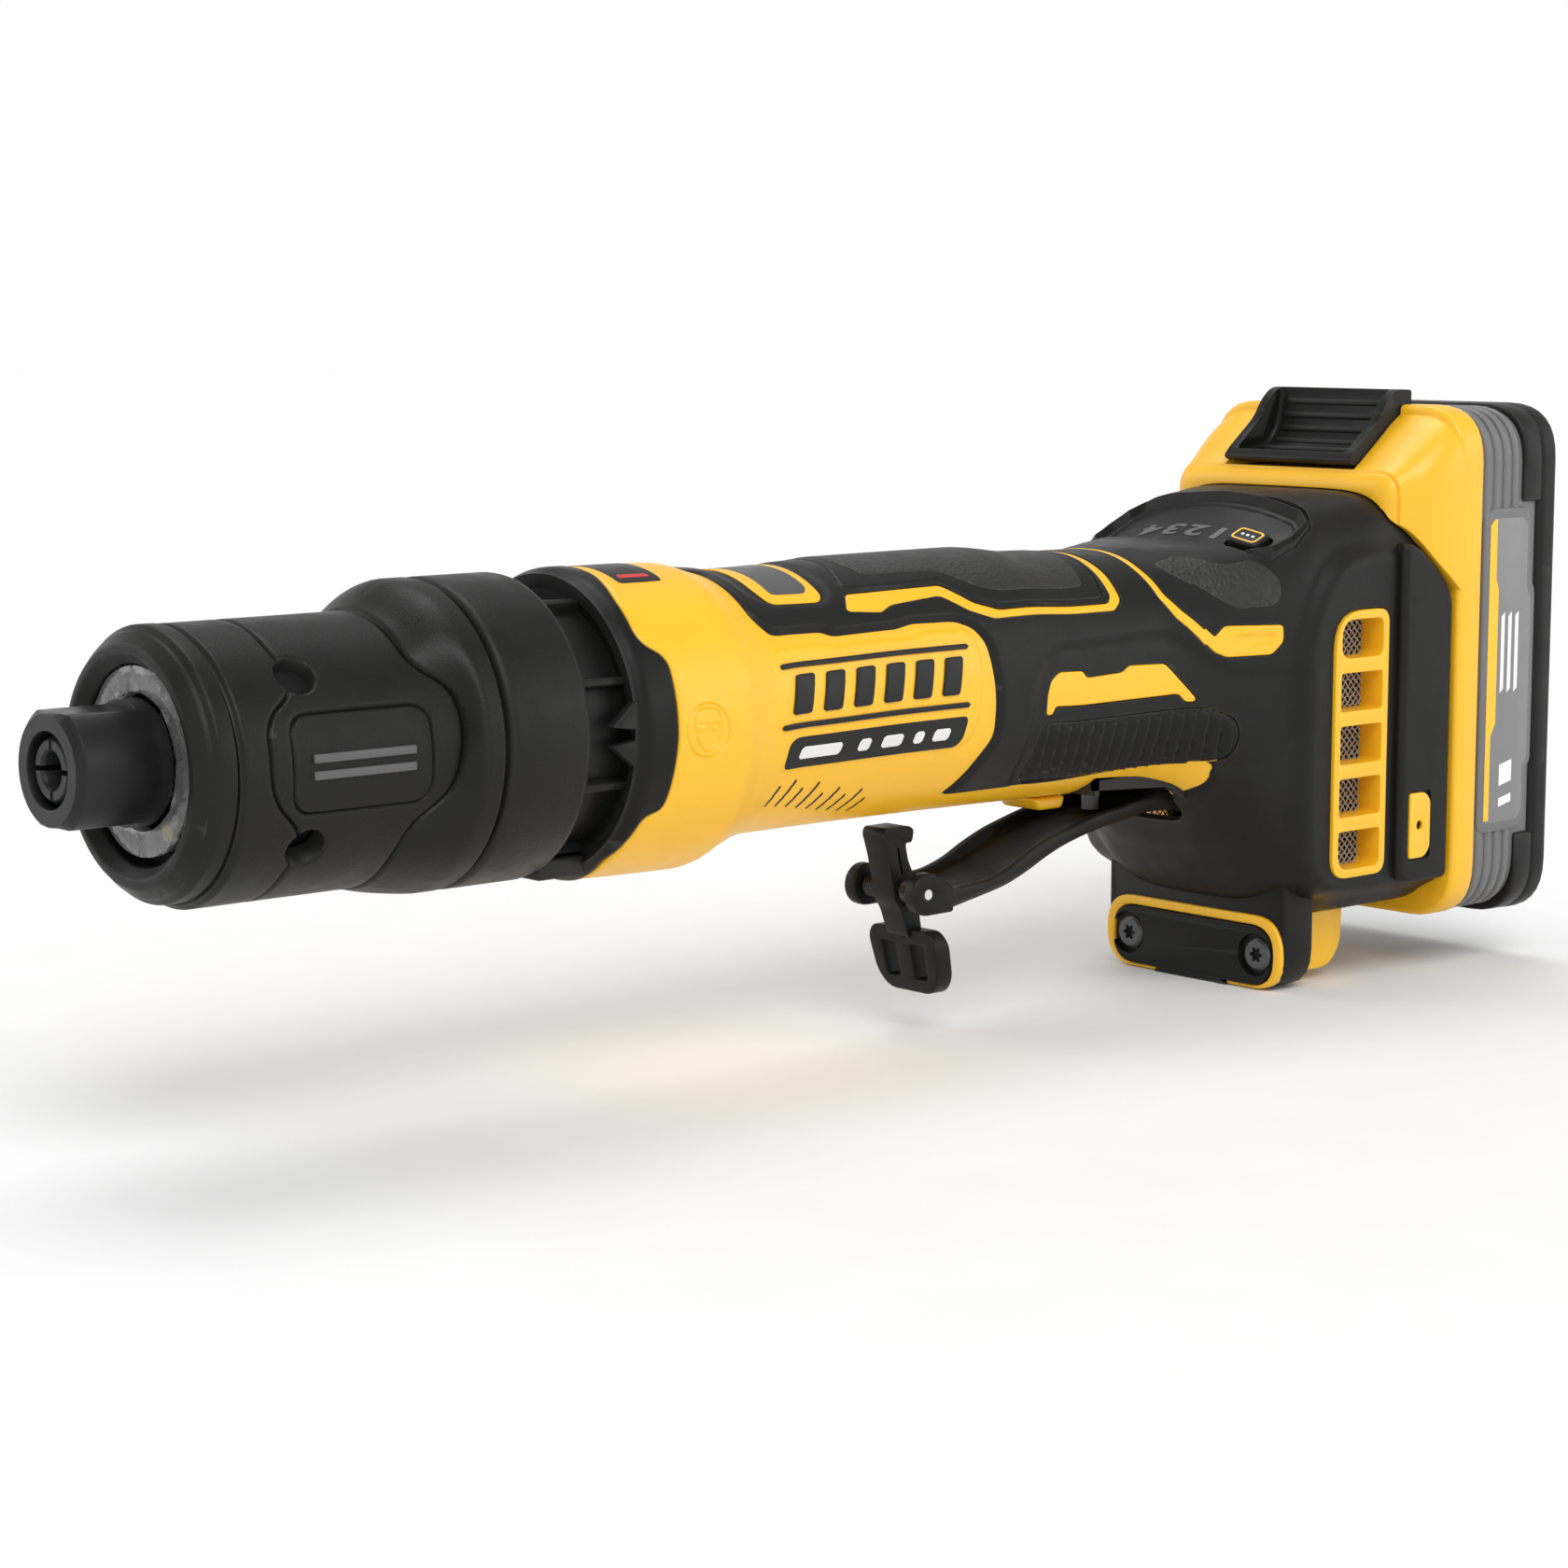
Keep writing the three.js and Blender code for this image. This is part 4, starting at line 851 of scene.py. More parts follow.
def build_visor():
    """The sunken speed panel: a dished floor, a ledge and a raised lip that fades at the front."""
    xs = np.arange(261, 288.01, 0.5)
    ys = np.arange(-31, 0.01, 0.5)
    x, y = np.meshgrid(xs, ys, indexing="ij")
    at = np.stack([x, y, visor_level(x, y)], -1)
    normal = np.zeros_like(at)
    normal[..., 2] = 1
    sheet = Sheet(xs, y, y, at, normal)
    sheet.outline("edge", VISOR_EDGE, (0, 0.3, 0.9, 1.1, 2.1, 3, 3.4)).keep("edge")
    distance = sheet["edge"]
    strength = np.maximum(ramp(sheet.x, 264, 270), ramp(np.abs(sheet.y), 18, 25))
    lip = 1.95 * strength * (1 - ramp(distance, 1.0, 2.2)) - 0.9 * (1 - ramp(distance, 0, 1))
    ledge = 0.35 * strength * (1 - ramp(distance, 3.0, 3.4))
    visor = sheet.lift(lip + ledge).solid("speed_visor", 7)
    boolean(visor, stand_on_panel(button_block("well", 5.2, 4.0, -9, 4, 2.3)))
    piece(visor, "housing", BLACK, "black_plastic", "speed_panel")

    digits = [make_digit(str(k + 1), 271.5, -9.2 + 6.8 * k) for k in range(4)]
    piece(joined("speed_digits", digits), "housing", GREY_INK, "label_film", sharp=20)


def make_digit(text, x, y):
    """One digit, read from the battery end, as a thin raised mesh on the panel's face."""
    curve = bpy.data.curves.new("digit", "FONT")
    curve.body = text
    curve.size = 7.2 * MM
    curve.extrude = 0.12 * MM
    curve.offset = 0.22 * MM
    curve.align_x = "CENTER"
    curve.align_y = "CENTER"
    holder = add_object("digit", curve)
    mesh = bpy.data.meshes.new_from_object(
        holder.evaluated_get(bpy.context.evaluated_depsgraph_get()))
    bpy.data.objects.remove(holder)
    mesh.transform(visor_place(x, y, 0.03) @ Matrix.Diagonal((1.55, 1, 1, 1)))
    return add_object("digit", mesh)


def button_block(name, half_across, half_along, low, high, radius):
    outline = rounded([(-half_across, -half_along), (half_across, -half_along),
                       (half_across, half_along), (-half_across, half_along)], radius)
    return prism(name, outline, "z", low, high)


def stand_on_panel(thing):
    """Moves a thing made about the origin to the button's place on the speed panel."""
    low, high = tool_box("speed_button")
    x, y = (low[0] + high[0]) / 2, (low[1] + high[1]) / 2
    thing.data.transform(visor_place(x, y, 0) @ Matrix.Translation(-ORIGIN))
    return thing


def build_button():
    body = stand_on_panel(bevelled(button_block("speed_button_cap", 4.5, 3.3, -4, 1.7, 1.8), 0.7, 4))
    piece(body, "speed", RUBBER, "black_rubber", "speed_button")
    ring = boolean(button_block("speed_button_ring", 3.6, 2.4, 1.2, 1.8, 1.3),
                   button_block("hole", 3.15, 1.95, 0, 3, 1.0))
    piece(stand_on_panel(ring), "speed", YELLOW, "yellow_plastic")
    dots = [disc("dot", "z", (k * 1.5, 0), 1.2, 1.8, 0.42, 12) for k in (-1, 0, 1)]
    piece(stand_on_panel(joined("speed_button_dots", dots)), "speed", WHITE_INK, "label_film")


def build_mouth_liner():
    """The dark pocket round the back of the paddle, with a hole for the switch plunger."""
    roof = block("roof", (224, 260), (-16.6, 16.6), (-22.6, -21.4))
    boolean(roof, disc("hole", "z", (240, 0), -30, -10, 2.5, 24))
    parts = [roof, block("front", (224, 225.4), (-16.6, 16.6), (-26, -21.4))]
    side = [(224, -21.4), (224, -24.8), (247, -26), (260, -33), (260, -21.4)]
    for hand in (-1, 1):
        parts.append(prism("side", side, "y", *sorted((hand * 15.4, hand * 16.6))))
    piece(joined("mouth_liner", parts), "housing", BLACK, "black_plastic")


# ---------------------------------------------------------------- nose


def build_nut():
    front, back, flat = -23.5, -4.6, 10.2

    def flats(points, angles):
        forward = points[..., 0] < -8.5
        points[..., 2] = np.where(forward, np.clip(points[..., 2], -flat, flat), points[..., 2])
        return points

    profile = [(front + 0.15, 7.0), (front, 7.2), (front, 9.9), (front + 0.12, 10.1),
               (front + 1.2, 11.3), (front + 1.5, 11.5), (-9, 11.5), (-8.52, 11.5), (-8.45, 11.5),
               (back - 0.5, 11.5), (back, 11.1), (back, 7.7), (-13.2, 7.7), (-14.6, 6.9),
               (front + 1, 6.9)]
    piece(lathe("nut_turned", profile, 128, shape=flats), "spindle", NUT, "dark_steel", "collet_nut",
          sharp=25)
    sleeve = lathe("collet_jaws", [(-22.4, 3.5), (-22.7, 3.8), (-22.7, 5.3), (-22.4, 5.6),
                                   (-21.2, 6.2), (-14, 6.5), (-13.4, 4.7), (1.5, 3.95),
                                   (1.5, 3.2), (-21.8, 3.2)], 64)
    slit = 0.5
    boolean(sleeve, block("slit", (-30, -3), (-12, 12), (-slit, slit)))
    boolean(sleeve, block("slit", (-30, -3), (-slit, slit), (-12, 12)))
    piece(sleeve, "spindle", NUT, "dark_steel", "collet", sharp=30)


def build_lens_and_ring():
    def facets(points, angles):
        wave = 0.35 * np.abs(np.sin(angles * 4 + 0.5)) ** 0.5
        face = points[..., 0] < -4.6
        points[..., 0] -= np.where(face, wave[:, None], 0)
        return points

    lens = lathe("lens_clear", [(-4.9, 12.5), (-5.2, 13.2), (-5.5, 14.4), (-5.3, 16), (-4.9, 17.2),
                                (-4.4, 17.3), (-4.4, 12.4)], 128, shape=facets)
    piece(lens, "housing", CLEAR, "clear_plastic", "led_lens", sharp=30)
    profile = rounded([(-0.3, 18.3), (-5.2, 18.2), (-7.5, 20.4), (-7.3, 22), (-5.3, 23.9),
                       (-4.6, 24.2), (-3.6, 25.2), (-0.3, 25.2)],
                      [0.2, 0.6, 0.5, 0.4, 0.3, 0.2, 0.5, 0.4])
    piece(lathe("ring_shell", profile, 128, -0.75), "housing", NOSE_BLACK, "black_plastic",
          "nose_ring", sharp=50)


BOOT_RADIUS = 25.8
COLLAR_RADIUS = 29.8
FLARE_EDGE = rounded([(40, 75), (40, 19), (47, 12), (48, 3.5), (46, -6.5), (37.5, -11.5),
                      (36, -17.8), (36.3, -75), (70, -75), (70, 75)], 4)
SEAM_EDGE = rounded([(13, 75), (13, 24), (14.5, 19), (12.5, 14.5), (8, 11.3), (6.3, 8), (6.3, -1.5),
                     (8, -5.5), (13, -10.5), (14.5, -15), (13, -20), (13, -75), (-10, -75),
                     (-10, 75)], 2.5)
KEY_HOLES = [(15.5, 18.8), (15.5, -14.6)]
BOOT_BADGE = rounded([(11, -7.4), (41, -7.4), (41, 11), (11, 11)], 4.5)


def build_boot():
    xs = np.unique(np.round(np.concatenate([
        np.arange(0.2, 2, 0.3), np.arange(2, 53, 0.7), np.arange(53, 55.05, 0.25)]), 2))
    radius = np.full(len(xs), BOOT_RADIUS)
    drop = -1.5 * (1 - ramp(xs, 38, 50))
    two = np.full(len(xs), 2.0)
    sheet = round_sections(xs, drop + radius, drop - radius, radius, two, two, -1, 1, 0.7, drop)
    hole = np.min([np.hypot(sheet.x - x, sheet.s - s) for x, s in KEY_HOLES], axis=0) - 3.95
    sheet.add("hole", hole, (0, 0.3, 0.8)).keep("hole")
    sheet.outline("flare", FLARE_EDGE, (-0.5, 0, 0.5, 1.2))
    sheet.outline("seam", SEAM_EDGE, (-0.5, 0, 0.5))
    sheet.outline("badge", BOOT_BADGE, (-0.5, 0, 0.5, 1.2))
    room = np.maximum(50.5 - sheet.x, 0)
    climb = np.clip(sheet["flare"], 0, None)
    height = (COLLAR_RADIUS - BOOT_RADIUS) * ramp(climb / (climb + room + 0.01), -0.15, 1)
    height = np.where(sheet["flare"] > 0, height, 0)
    height += groove(sheet["flare"], 0.75, 0.55) + groove(sheet["seam"], 0.8, 0.55)
    height += groove(sheet["badge"], 0.7, 0.55) - 0.2 * ramp(sheet["badge"], 0, 1.2)
    height += rounded_edge(sheet["hole"], 0.5, 0.8)
    height -= 0.9 * (1 - ramp(sheet.x, 0.2, 1.4)) + 1.1 * ramp(sheet.x, 53.8, 55)
    boot = sheet.lift(height).solid("boot_shell", 3.7)
    piece(boot, "housing", NOSE_BLACK, "black_rubber", "nose_boot", sharp=50)
    plates = []
    for side in (-1, 1):
        for z in (-2.6, 0.4):
            plates.append(bevelled(block("plate", (15, 37), sorted((side * 25.0, side * 26.1)),
                                         (z, z + 1.6)), 0.3))
    piece(joined("boot_plates", plates), "housing", GREY_INK, "black_rubber")

    collar = [(55.5, 25), (55.5, 28.4), (55.8, 29.2), (56.4, 29.7), (57.4, 29.8), (72.8, 29.8),
              (73.8, 29.6), (74.4, 29), (74.5, 28.4), (74.5, 25)]
    piece(lathe("collar_band", collar, 160), "housing", NOSE_BLACK, "black_plastic", "front_collar",
          sharp=50)


def build_exhaust():
    parts = [lathe("core", [(74.8, 21), (74.8, 24.4), (86.4, 24.4), (86.4, 27.4), (88, 27.4),
                            (88, 21)], 96)]
    fins = 8
    for k in range(fins):
        fin = bevelled(block("fin", (74.9, 86.6), (-0.8, 0.8), (23.5, 26.6)), 0.4)
        turn = Matrix.Rotation(2 * math.pi * (k + 0.5) / fins, 4, "X")
        fin.data.transform(Matrix.Translation(ORIGIN) @ turn @ Matrix.Translation(-ORIGIN))
        parts.append(fin)
    for side in (-1, 1):
        for up in (-1, 1):
            tip = [(86, up * 0.9), (80, up * 1.8), (86, up * 6.6)]
            parts.append(bevelled(prism("tab", tip, "y", *sorted((side * 26.3, side * 28.8))), 0.4))
        parts.append(bevelled(block("bridge", (74.8, 86), sorted((side * 2, side * 12)),
                                    (-29, -25)), 0.6))
    piece(joined("exhaust_fins", parts), "housing", BLACK, "black_plastic", "exhaust_ring")


# ---------------------------------------------------------------- foot


def mirrored_pair(name, build):
    """Builds a piece for the -Y side and its mirror image, as one object."""
    return joined(name, [build(-1), build(1)])


def build_vents():
    rim, bar, count = 2.0, 3.3, 5
    x0, x1 = VENT_X
    z0, z1 = VENT_Z
    pitch = (z1 - z0 - 2 * rim + bar) / count

    def frame_side(side):
        outer = prism("vent", vent_outline(), "y", *sorted((side * 28.9, side * 35.9)))
        for k in range(count):
            low = z0 + rim + k * pitch
            radii = [3, 2, 2, 8] if k == count - 1 else ([3.5, 2, 0.8, 0.8] if k == 0 else 0.8)
            hole = rounded([(x0 + rim, low), (x1 - rim, low), (x1 - rim, low + pitch - bar),
                            (x0 + rim, low + pitch - bar)], radii)
            boolean(outer, prism("hole", hole, "y", *sorted((side * 20, side * 40))))
        return bevelled(outer, 0.45, 3, 50)

    piece(mirrored_pair("vent_frames", frame_side), "housing", YELLOW, "yellow_plastic",
          "vent_frame_right", "vent_frame_left")

    def mesh_side(side):
        wires, gap, swing = [], 1.35, 0.14
        width, height = x1 - x0 - 1.2, z1 - z0 - 1.2
        centre = np.array([(x0 + x1) / 2, side * 29.4, (z0 + z1) / 2])
        for lean in (-1, 1):
            reach = (width + height) / 2
            for offset in np.arange(-reach, reach, gap * math.sqrt(2)):
                line = [(t, lean * (t - offset)) for t in np.arange(-width / 2, width / 2, 0.4)]
                inside = [p for p in line if abs(p[1]) < height / 2]
                if len(inside) < 4:
                    continue
                path = [centre + (p[0], lean * swing * math.cos(p[0] * math.pi / gap * 1.41), p[1])
                        for p in inside]
                wires.append(tube("wire", path, 0.2, 5))
        return joined("mesh", wires)

    piece(mirrored_pair("vent_screens", mesh_side), "housing", WIRE, "bright_steel",
          "vent_mesh_right", "vent_mesh_left")

    def rail_side(side):
        outline = rounded([(303.6, -52), (321.6, -52), (321.6, 14), (315.5, 21), (309, 25.6),
                           (303.6, 27)], [5, 2, 3, 3, 2, 3])
        rail = prism("rail", outline, "y", *sorted((side * 30, side * 37.2)))
        rail = bevelled(rail, 1.3, 4)
        well = rounded([(306.6, -46.6), (314.8, -46.6), (314.8, -30.6), (306.6, -30.6)], 1.5)
        return boolean(rail, prism("well", well, "y", *sorted((side * 36.7, side * 39))))

    piece(mirrored_pair("rail_blocks", rail_side), "housing", BLACK, "black_plastic")

    def tag_side(side):
        outline = rounded([(307, -46.2), (312.5, -46.2), (314.4, -44), (314.4, -33), (312.5, -31),
                           (307, -31)], [0.8, 1.5, 1, 1, 1.5, 0.8])
        tag = prism("tag", outline, "y", *sorted((side * 36.4, side * 37.5)))
        hole = disc("hole", "y", (310.6, -38.6), *sorted((side * 35, side * 39)), 1.1, 20)
        return bevelled(boolean(tag, hole), 0.25, 2)

    piece(mirrored_pair("rail_tags", tag_side), "housing", YELLOW, "yellow_plastic")


def torx_screw(name, x, y, z, radius):
    """A countersunk head that faces -X, with a six-lobed recess."""
    head = lathe(name, [(x, 0), (x, radius - 0.7), (x + 0.5, radius), (x + 1.6, radius),
                        (x + 1.6, 0)], 48)
    head.data.transform(Matrix.Translation((0, y * MM, z * MM)))
    angles = np.arange(48) * 2 * math.pi / 48
    reach = 1.55 + 0.4 * np.cos(6 * angles)
    star = np.stack([y + reach * np.cos(angles), z + reach * np.sin(angles)], -1)
    return boolean(head, prism("star", star, "x", x - 1, x + 1.1))


def build_leg():
    front = tool_box("leg_plate")[0][0]
    sole = tool_box("housing_right")[0][2]
    outline = rounded([(-27.3, sole + 0.2), (27.3, sole + 0.2), (27.3, -46), (-27.3, -46)],
                      [9, 9, 2, 2])
    leg = bevelled(prism("leg_block", outline, "x", front + 1.4, 286), 1.2, 4)
    piece(leg, "housing", BLACK, "black_plastic")

    ring = prism("surround", rounded([(-26.9, -74.9), (26.9, -74.9), (26.9, -58), (-26.9, -58)],
                                     9, 8), "x", front + 0.5, front + 3)
    boolean(ring, prism("inner", rounded([(-24.7, -74.2), (24.7, -74.2), (24.7, -60.2),
                                          (-24.7, -60.2)], 7.6, 8), "x", front - 2, front + 6))
    boolean(ring, prism("gap", [(-12.5, -80), (9.5, -80), (12.5, -70), (-9.5, -70)], "x",
                        front - 2, front + 6))
    piece(bevelled(ring, 0.5, 3), "housing", YELLOW, "yellow_plastic")

    outline = rounded([(-24.3, -74), (-9, -74), (-11.5, -75), (11.5, -75), (9, -74), (24.3, -74),
                       (24.3, -60.4), (-24.3, -60.4)], [7.4, 0.4, 0.4, 0.4, 0.4, 7.4, 7.4, 7.4], 8)
    plate = prism("foot_plate", outline, "x", front, front + 2.6)
    screws = []
    for name in ("plate_screw_right", "plate_screw_left"):
        low, high = tool_box(name)
        y, z = (low[1] + high[1]) / 2, (low[2] + high[2]) / 2
        boolean(plate, disc("sink", "x", (y, z), front - 1, front + 1.9, 5.0, 48))
        screws.append(torx_screw("screw", low[0] + 0.1, y, z, 3.9))
    piece(bevelled(plate, 0.35, 3, 50), "housing", BLACK, "black_plastic", "leg_plate")
    piece(joined("plate_screws", screws), "housing", DARK_STEEL, "dark_steel",
          "plate_screw_right", "plate_screw_left", sharp=30)

    toe_front = tool_box("toe_block")[0][0]
    side = rounded([(toe_front, -72.5), (299, -72.5), (303, -68), (303.5, -59), (toe_front, -59)],
                   [0.5, 4, 4, 1, 0.5])
    toe = bevelled(prism("toe_yellow", side, "y", -21, 21), 1.2, 4)
    piece(toe, "housing", YELLOW, "yellow_plastic", "toe_block")

    fin_low, fin_high = tool_box("front_grip_fin")
    fin = prism("grip_fin", [(fin_low[0] - 1, -27), (fin_high[0] + 1, -27), (fin_high[0], -29.8),
                             (fin_low[0] + 1, -29.8)], "y", fin_low[1], fin_high[1])
    piece(bevelled(fin, 0.9, 4), "housing", YELLOW, "yellow_plastic", "front_grip_fin")


# ---------------------------------------------------------------- paddle and lock lever

# x, underside, channel floor and top edge of the paddle
PADDLE = np.array([
    (184.5, -48.4, -46.2, -43.4), (190, -47.4, -45, -42.6), (196, -46.3, -44.2, -42.3),
    (203, -44.9, -42.9, -40.6), (210, -42.5, -40.5, -37.5), (216, -39.9, -38.0, -35.2),
    (222, -37.8, -35.9, -33.5), (232, -35.5, -33.5, -31.2), (242, -34, -32.2, -29.8),
    (250, -33, -31.2, -28.6), (262, -33.2, -30.9, -27),
])


def build_paddle():
    xs = np.linspace(PADDLE[0, 0], PADDLE[-1, 0], 60)
    under, floor, top = monotone(PADDLE, xs).T
    half, wall = 11.0, 2.0
    rings = []
    for x, a, b, c in zip(xs, under, floor, top):
        rim = min(0.9, (c - b) * 0.3)
        right = [(-half + 3.2, a), (-half + 1.1, a + 0.7), (-half + 0.1, a + 2.4), (-half, c - rim),
                 (-half + 0.35, c - 0.15), (-half + wall / 2, c), (-half + wall - 0.2, c - 0.2),
                 (-half + wall, c - rim), (-half + wall + 0.5, b + 0.5), (-half + wall + 1.6, b)]
        rings.append([(x, y, z) for y, z in right + [(-y, z) for y, z in right[::-1]]])
    count, rows = len(rings[0]), len(rings)
    faces = ring_faces(rows, count)
    faces += [list(range(count)), list(range((rows - 1) * count, rows * count))[::-1]]
    channel = make_object("channel", np.array(rings).reshape(-1, 3), faces)
    fix_normals(channel)
    boolean(channel, block("fork_gap", (165, 186.5), (-7.6, 7.6), (-60, -30)))

    lock_x, lock_z = joint_place("lock_tilt")
    pivot_x, pivot_z = joint_place("paddle_press")
    parts = [channel]
    angles, ear_radius = np.linspace(1.5 * math.pi, 0.3 * math.pi, 16), 4.6
    arc = [(lock_x + ear_radius * math.cos(a), lock_z + ear_radius * math.sin(a)) for a in angles]
    for side in (-1, 1):
        ear = prism("ear", [*arc, (187, -42.6), (187, -48)], "y", *sorted((side * 7.8, side * half)))
        boolean(ear, disc("hole", "y", (lock_x, lock_z), -20, 20, 0.9, 16))
        parts.append(bevelled(ear, 0.7, 4))
    tail = rounded([(260, -33.6), (264, -35), (269, -35.3), (273.8, -33.2), (273.8, -29),
                    (271, -27.2), (260, -27)], 1.5)
    heel = prism("heel", tail, "y", -half, half)
    boolean(heel, block("gap", (262.2, 280), (-7.4, 7.4), (-40, -20)))
    boolean(heel, disc("hole", "y", (pivot_x, pivot_z), -20, 20, 2.1, 24))
    parts.append(bevelled(heel, 0.6, 3))
    piece(joined("paddle_shell", parts), "paddle", BLACK, "black_plastic", "paddle_lever", sharp=45)

    coils = [coil_along_y("coil", lock_x, lock_z, side * 3.9, side * 7.4, 2.2, 0.33, 5)
             for side in (-1, 1)]
    piece(joined("lock_coils", coils), "paddle", DARK_STEEL, "dark_steel", "lock_spring")
    coil = coil_along_y("paddle_coil", pivot_x, pivot_z, -6.2, 6.2, 2.85, 0.45, 9)
    piece(coil, "housing", DARK_STEEL, "dark_steel", "paddle_spring")


def build_lock_lever():
    lock_x, lock_z = joint_place("lock_tilt")
    outline = rounded([
        (173.2, -31), (173.9, -29.7), (181, -29.7), (182.3, -30.6), (181.8, -33.4), (179.8, -33.2),
        (180.6, -37), (182.6, -41), (182.9, -44.5), (184, -49), (185, -54), (180.8, -54),
        (178.6, -48), (176.7, -45.4), (176.2, -42), (174.8, -36)], 1.1)
    blade = prism("blade", outline, "y", -3.3, 3.3)
    boolean(blade, disc("pin", "y", (lock_x, lock_z), -20, 20, 1.6, 24))
    slit = rounded([(177.3, -34.2), (177.9, -34.2), (179.2, -40), (178.6, -40)], 0.2)
    boolean(blade, prism("slit", slit, "y", -6, -2.7))
    blade = bevelled(blade, 0.45, 3)
    plate = prism("plate", rounded([(-8.5, -52.2), (8.5, -52.2), (10.5, -55), (9.6, -63),
                                    (6.6, -66.5), (-6.6, -66.5), (-9.6, -63), (-10.5, -55)], 2.4),
                  "x", 170, 195)
    lean = prism("lean", [(180.7, -51), (185.2, -51), (189.2, -67), (184.6, -67)], "y", -12, 12)
    boolean(plate, lean, "INTERSECT")
    for side in (-1, 1):
        slot = rounded([(side * 2.3, -55.6), (side * 6.6, -55.6), (side * 6.2, -63.4),
                        (side * 2.3, -63.4)], 0.7)
        boolean(plate, prism("slot", slot, "x", 170, 195))
    plate = bevelled(plate, 0.8, 4)
    piece(joined("lock_lever_shell", [blade, plate]), "lock_off", BLACK, "black_plastic",
          "lock_lever", sharp=45)


# ---------------------------------------------------------------- battery pack


def rounded_ring(y_half, z0, z1, radius):
    return rounded([(-y_half, z0), (y_half, z0), (y_half, z1), (-y_half, z1)], radius, 8)


def build_battery():
    half, top, bottom = 38.1, 57.2, -62.5
    plate = bevelled(prism("plate", rounded_ring(half, bottom, top, 13), "x", 322.4, 330.8), 1.4, 4)

    rows = []
    slope = np.array([(302.8, 39.2, 33.4, 30), (303.6, 40.8, 32, 32), (308, 44.2, 29, 34.6),
                      (314.5, 49.2, 22.4, 37.2), (320, 53.5, 17.5, 38), (323.4, 55.6, 14.6, 38.1)])
    xs = np.sort(np.append(np.linspace(302.8, 323.4, 24), [304.9, 305.15, 305.5, 305.75]))
    peak, low, wide = monotone(slope, xs).T
    for x, high, base, span in zip(xs, peak, low, wide):
        corner = 7 + 6 * (x - 302.8) / 20.6
        inset = 0.6 if 305 < x < 305.7 else 0
        span, high = span - inset, high - inset
        ring = rounded([(-span, base), (span, base), (span, high), (-span, high)],
                       [0.4, 0.4, corner, corner], 8)
        rows.append(np.column_stack([np.full(len(ring), x), ring]))
    count = len(rows[0])
    faces = ring_faces(len(rows), count)
    faces += [list(range(count)), list(range((len(rows) - 1) * count, len(rows) * count))[::-1]]
    wedge = make_object("wedge", np.vstack(rows), faces)
    fix_normals(wedge)
    turn = np.linspace(0, math.pi, 49)
    seat = [(35.2 * np.sign(c) * abs(c) ** (1 / 3), -10.8 + 49.1 * abs(s) ** (1 / 3))
            for c, s in zip(np.cos(turn), np.sin(turn))]
    seat = prism("seat", [(35.2, -40), *seat, (-35.2, -40)], "x", 300, 321.9)
    boolean(wedge, seat)
    for part in (wedge, plate):
        boolean(part, block("latch_room", (300, 332), (-19.6, 19.6), (42.6, 70)))
    wedge = bevelled(wedge, 0.5, 3, 50)
    rail = bevelled(block("rail", (311.2, 323), (-19.8, 19.8), (-37.8, 38.2)), 0.8)
    for name in ("terminal_blade_1", "terminal_blade_2"):
        blade_low, blade_high = tool_box(name)
        width = (blade_low[1] - 0.4, blade_high[1] + 0.4)
        boolean(rail, block("slot", (300, blade_high[0] + 0.5), width, (-45, blade_high[2] + 0.5)))
    case = joined("case_yellow", [plate, wedge, rail])
    piece(case, "battery", YELLOW, "yellow_plastic", "battery_case")

    can = bevelled(prism("can", rounded_ring(half - 1.2, bottom + 0.8, top - 1.2, 12.5), "x",
                         331, 352), 0.8)
    parts = [can]
    for k in range(4):
        x = 331.8 + 3.5 * k
        rib = prism("rib", rounded_ring(half - 0.5, bottom + 0.3, top - 0.5, 12.8), "x", x, x + 2.3)
        parts.append(bevelled(rib, 0.9, 3))
    piece(joined("can_grey", parts), "battery", GREY, "grey_plastic", "battery_can")

    def plate_side(side):
        outline = rounded([(331.6, -43), (347, -43), (349.5, -40), (349.5, -29), (351.4, -27),
                           (351.4, 14), (349.5, 17), (349.5, 31), (347, 33.5), (334, 33.5),
                           (331.6, 31)], 2.5)
        return bevelled(prism("plate", outline, "y", *sorted((side * 36, side * 37.9))), 0.8, 4)

    piece(mirrored_pair("label_plates", plate_side), "battery", GREY, "grey_plastic")

    def label_side(side):
        outline = rounded([(333.4, -40.6), (346, -40.6), (347.8, -38.6), (347.8, -28), (349.4, -26),
                           (349.4, 12), (347.8, 14.5), (347.8, 29.4), (346, 31), (335, 31),
                           (333.4, 29.4)], 1.8)
        return bevelled(prism("label", outline, "y", *sorted((side * 37.5, side * 38.0))), 0.12, 2)

    piece(mirrored_pair("pack_labels", label_side), "battery", GREY_LABEL, "label_film",
          "battery_label_right", "battery_label_left")

    def stripe_side(side):
        outline = [(333.5, -40), (335.3, -40), (335.3, -20), (337, -17), (337, 14.5), (336, 17),
                   (336, 30.8), (335, 30.8), (333.5, 29.4)]
        return prism("stripe", outline, "y", *sorted((side * 37.8, side * 38.06)))

    piece(mirrored_pair("pack_stripes", stripe_side), "battery", YELLOW, "label_film")

    def mark_side(side):
        bars = []
        for z0, z1, x0, x1 in ((-37, -34, 339, 343.6), (-32, -26, 339, 343.6), (-10, 9, 338.4, 339.6),
                               (-10, 9, 341, 342.2), (-10, 9, 343.6, 344.8)):
            bars.append(prism("bar", [(x0, z0), (x1, z0 + 1), (x1, z1), (x0, z1 - 1)], "y",
                              *sorted((side * 37.8, side * 38.08))))
        return joined("bars", bars)

    piece(mirrored_pair("pack_marks", mark_side), "battery", WHITE_INK, "label_film")

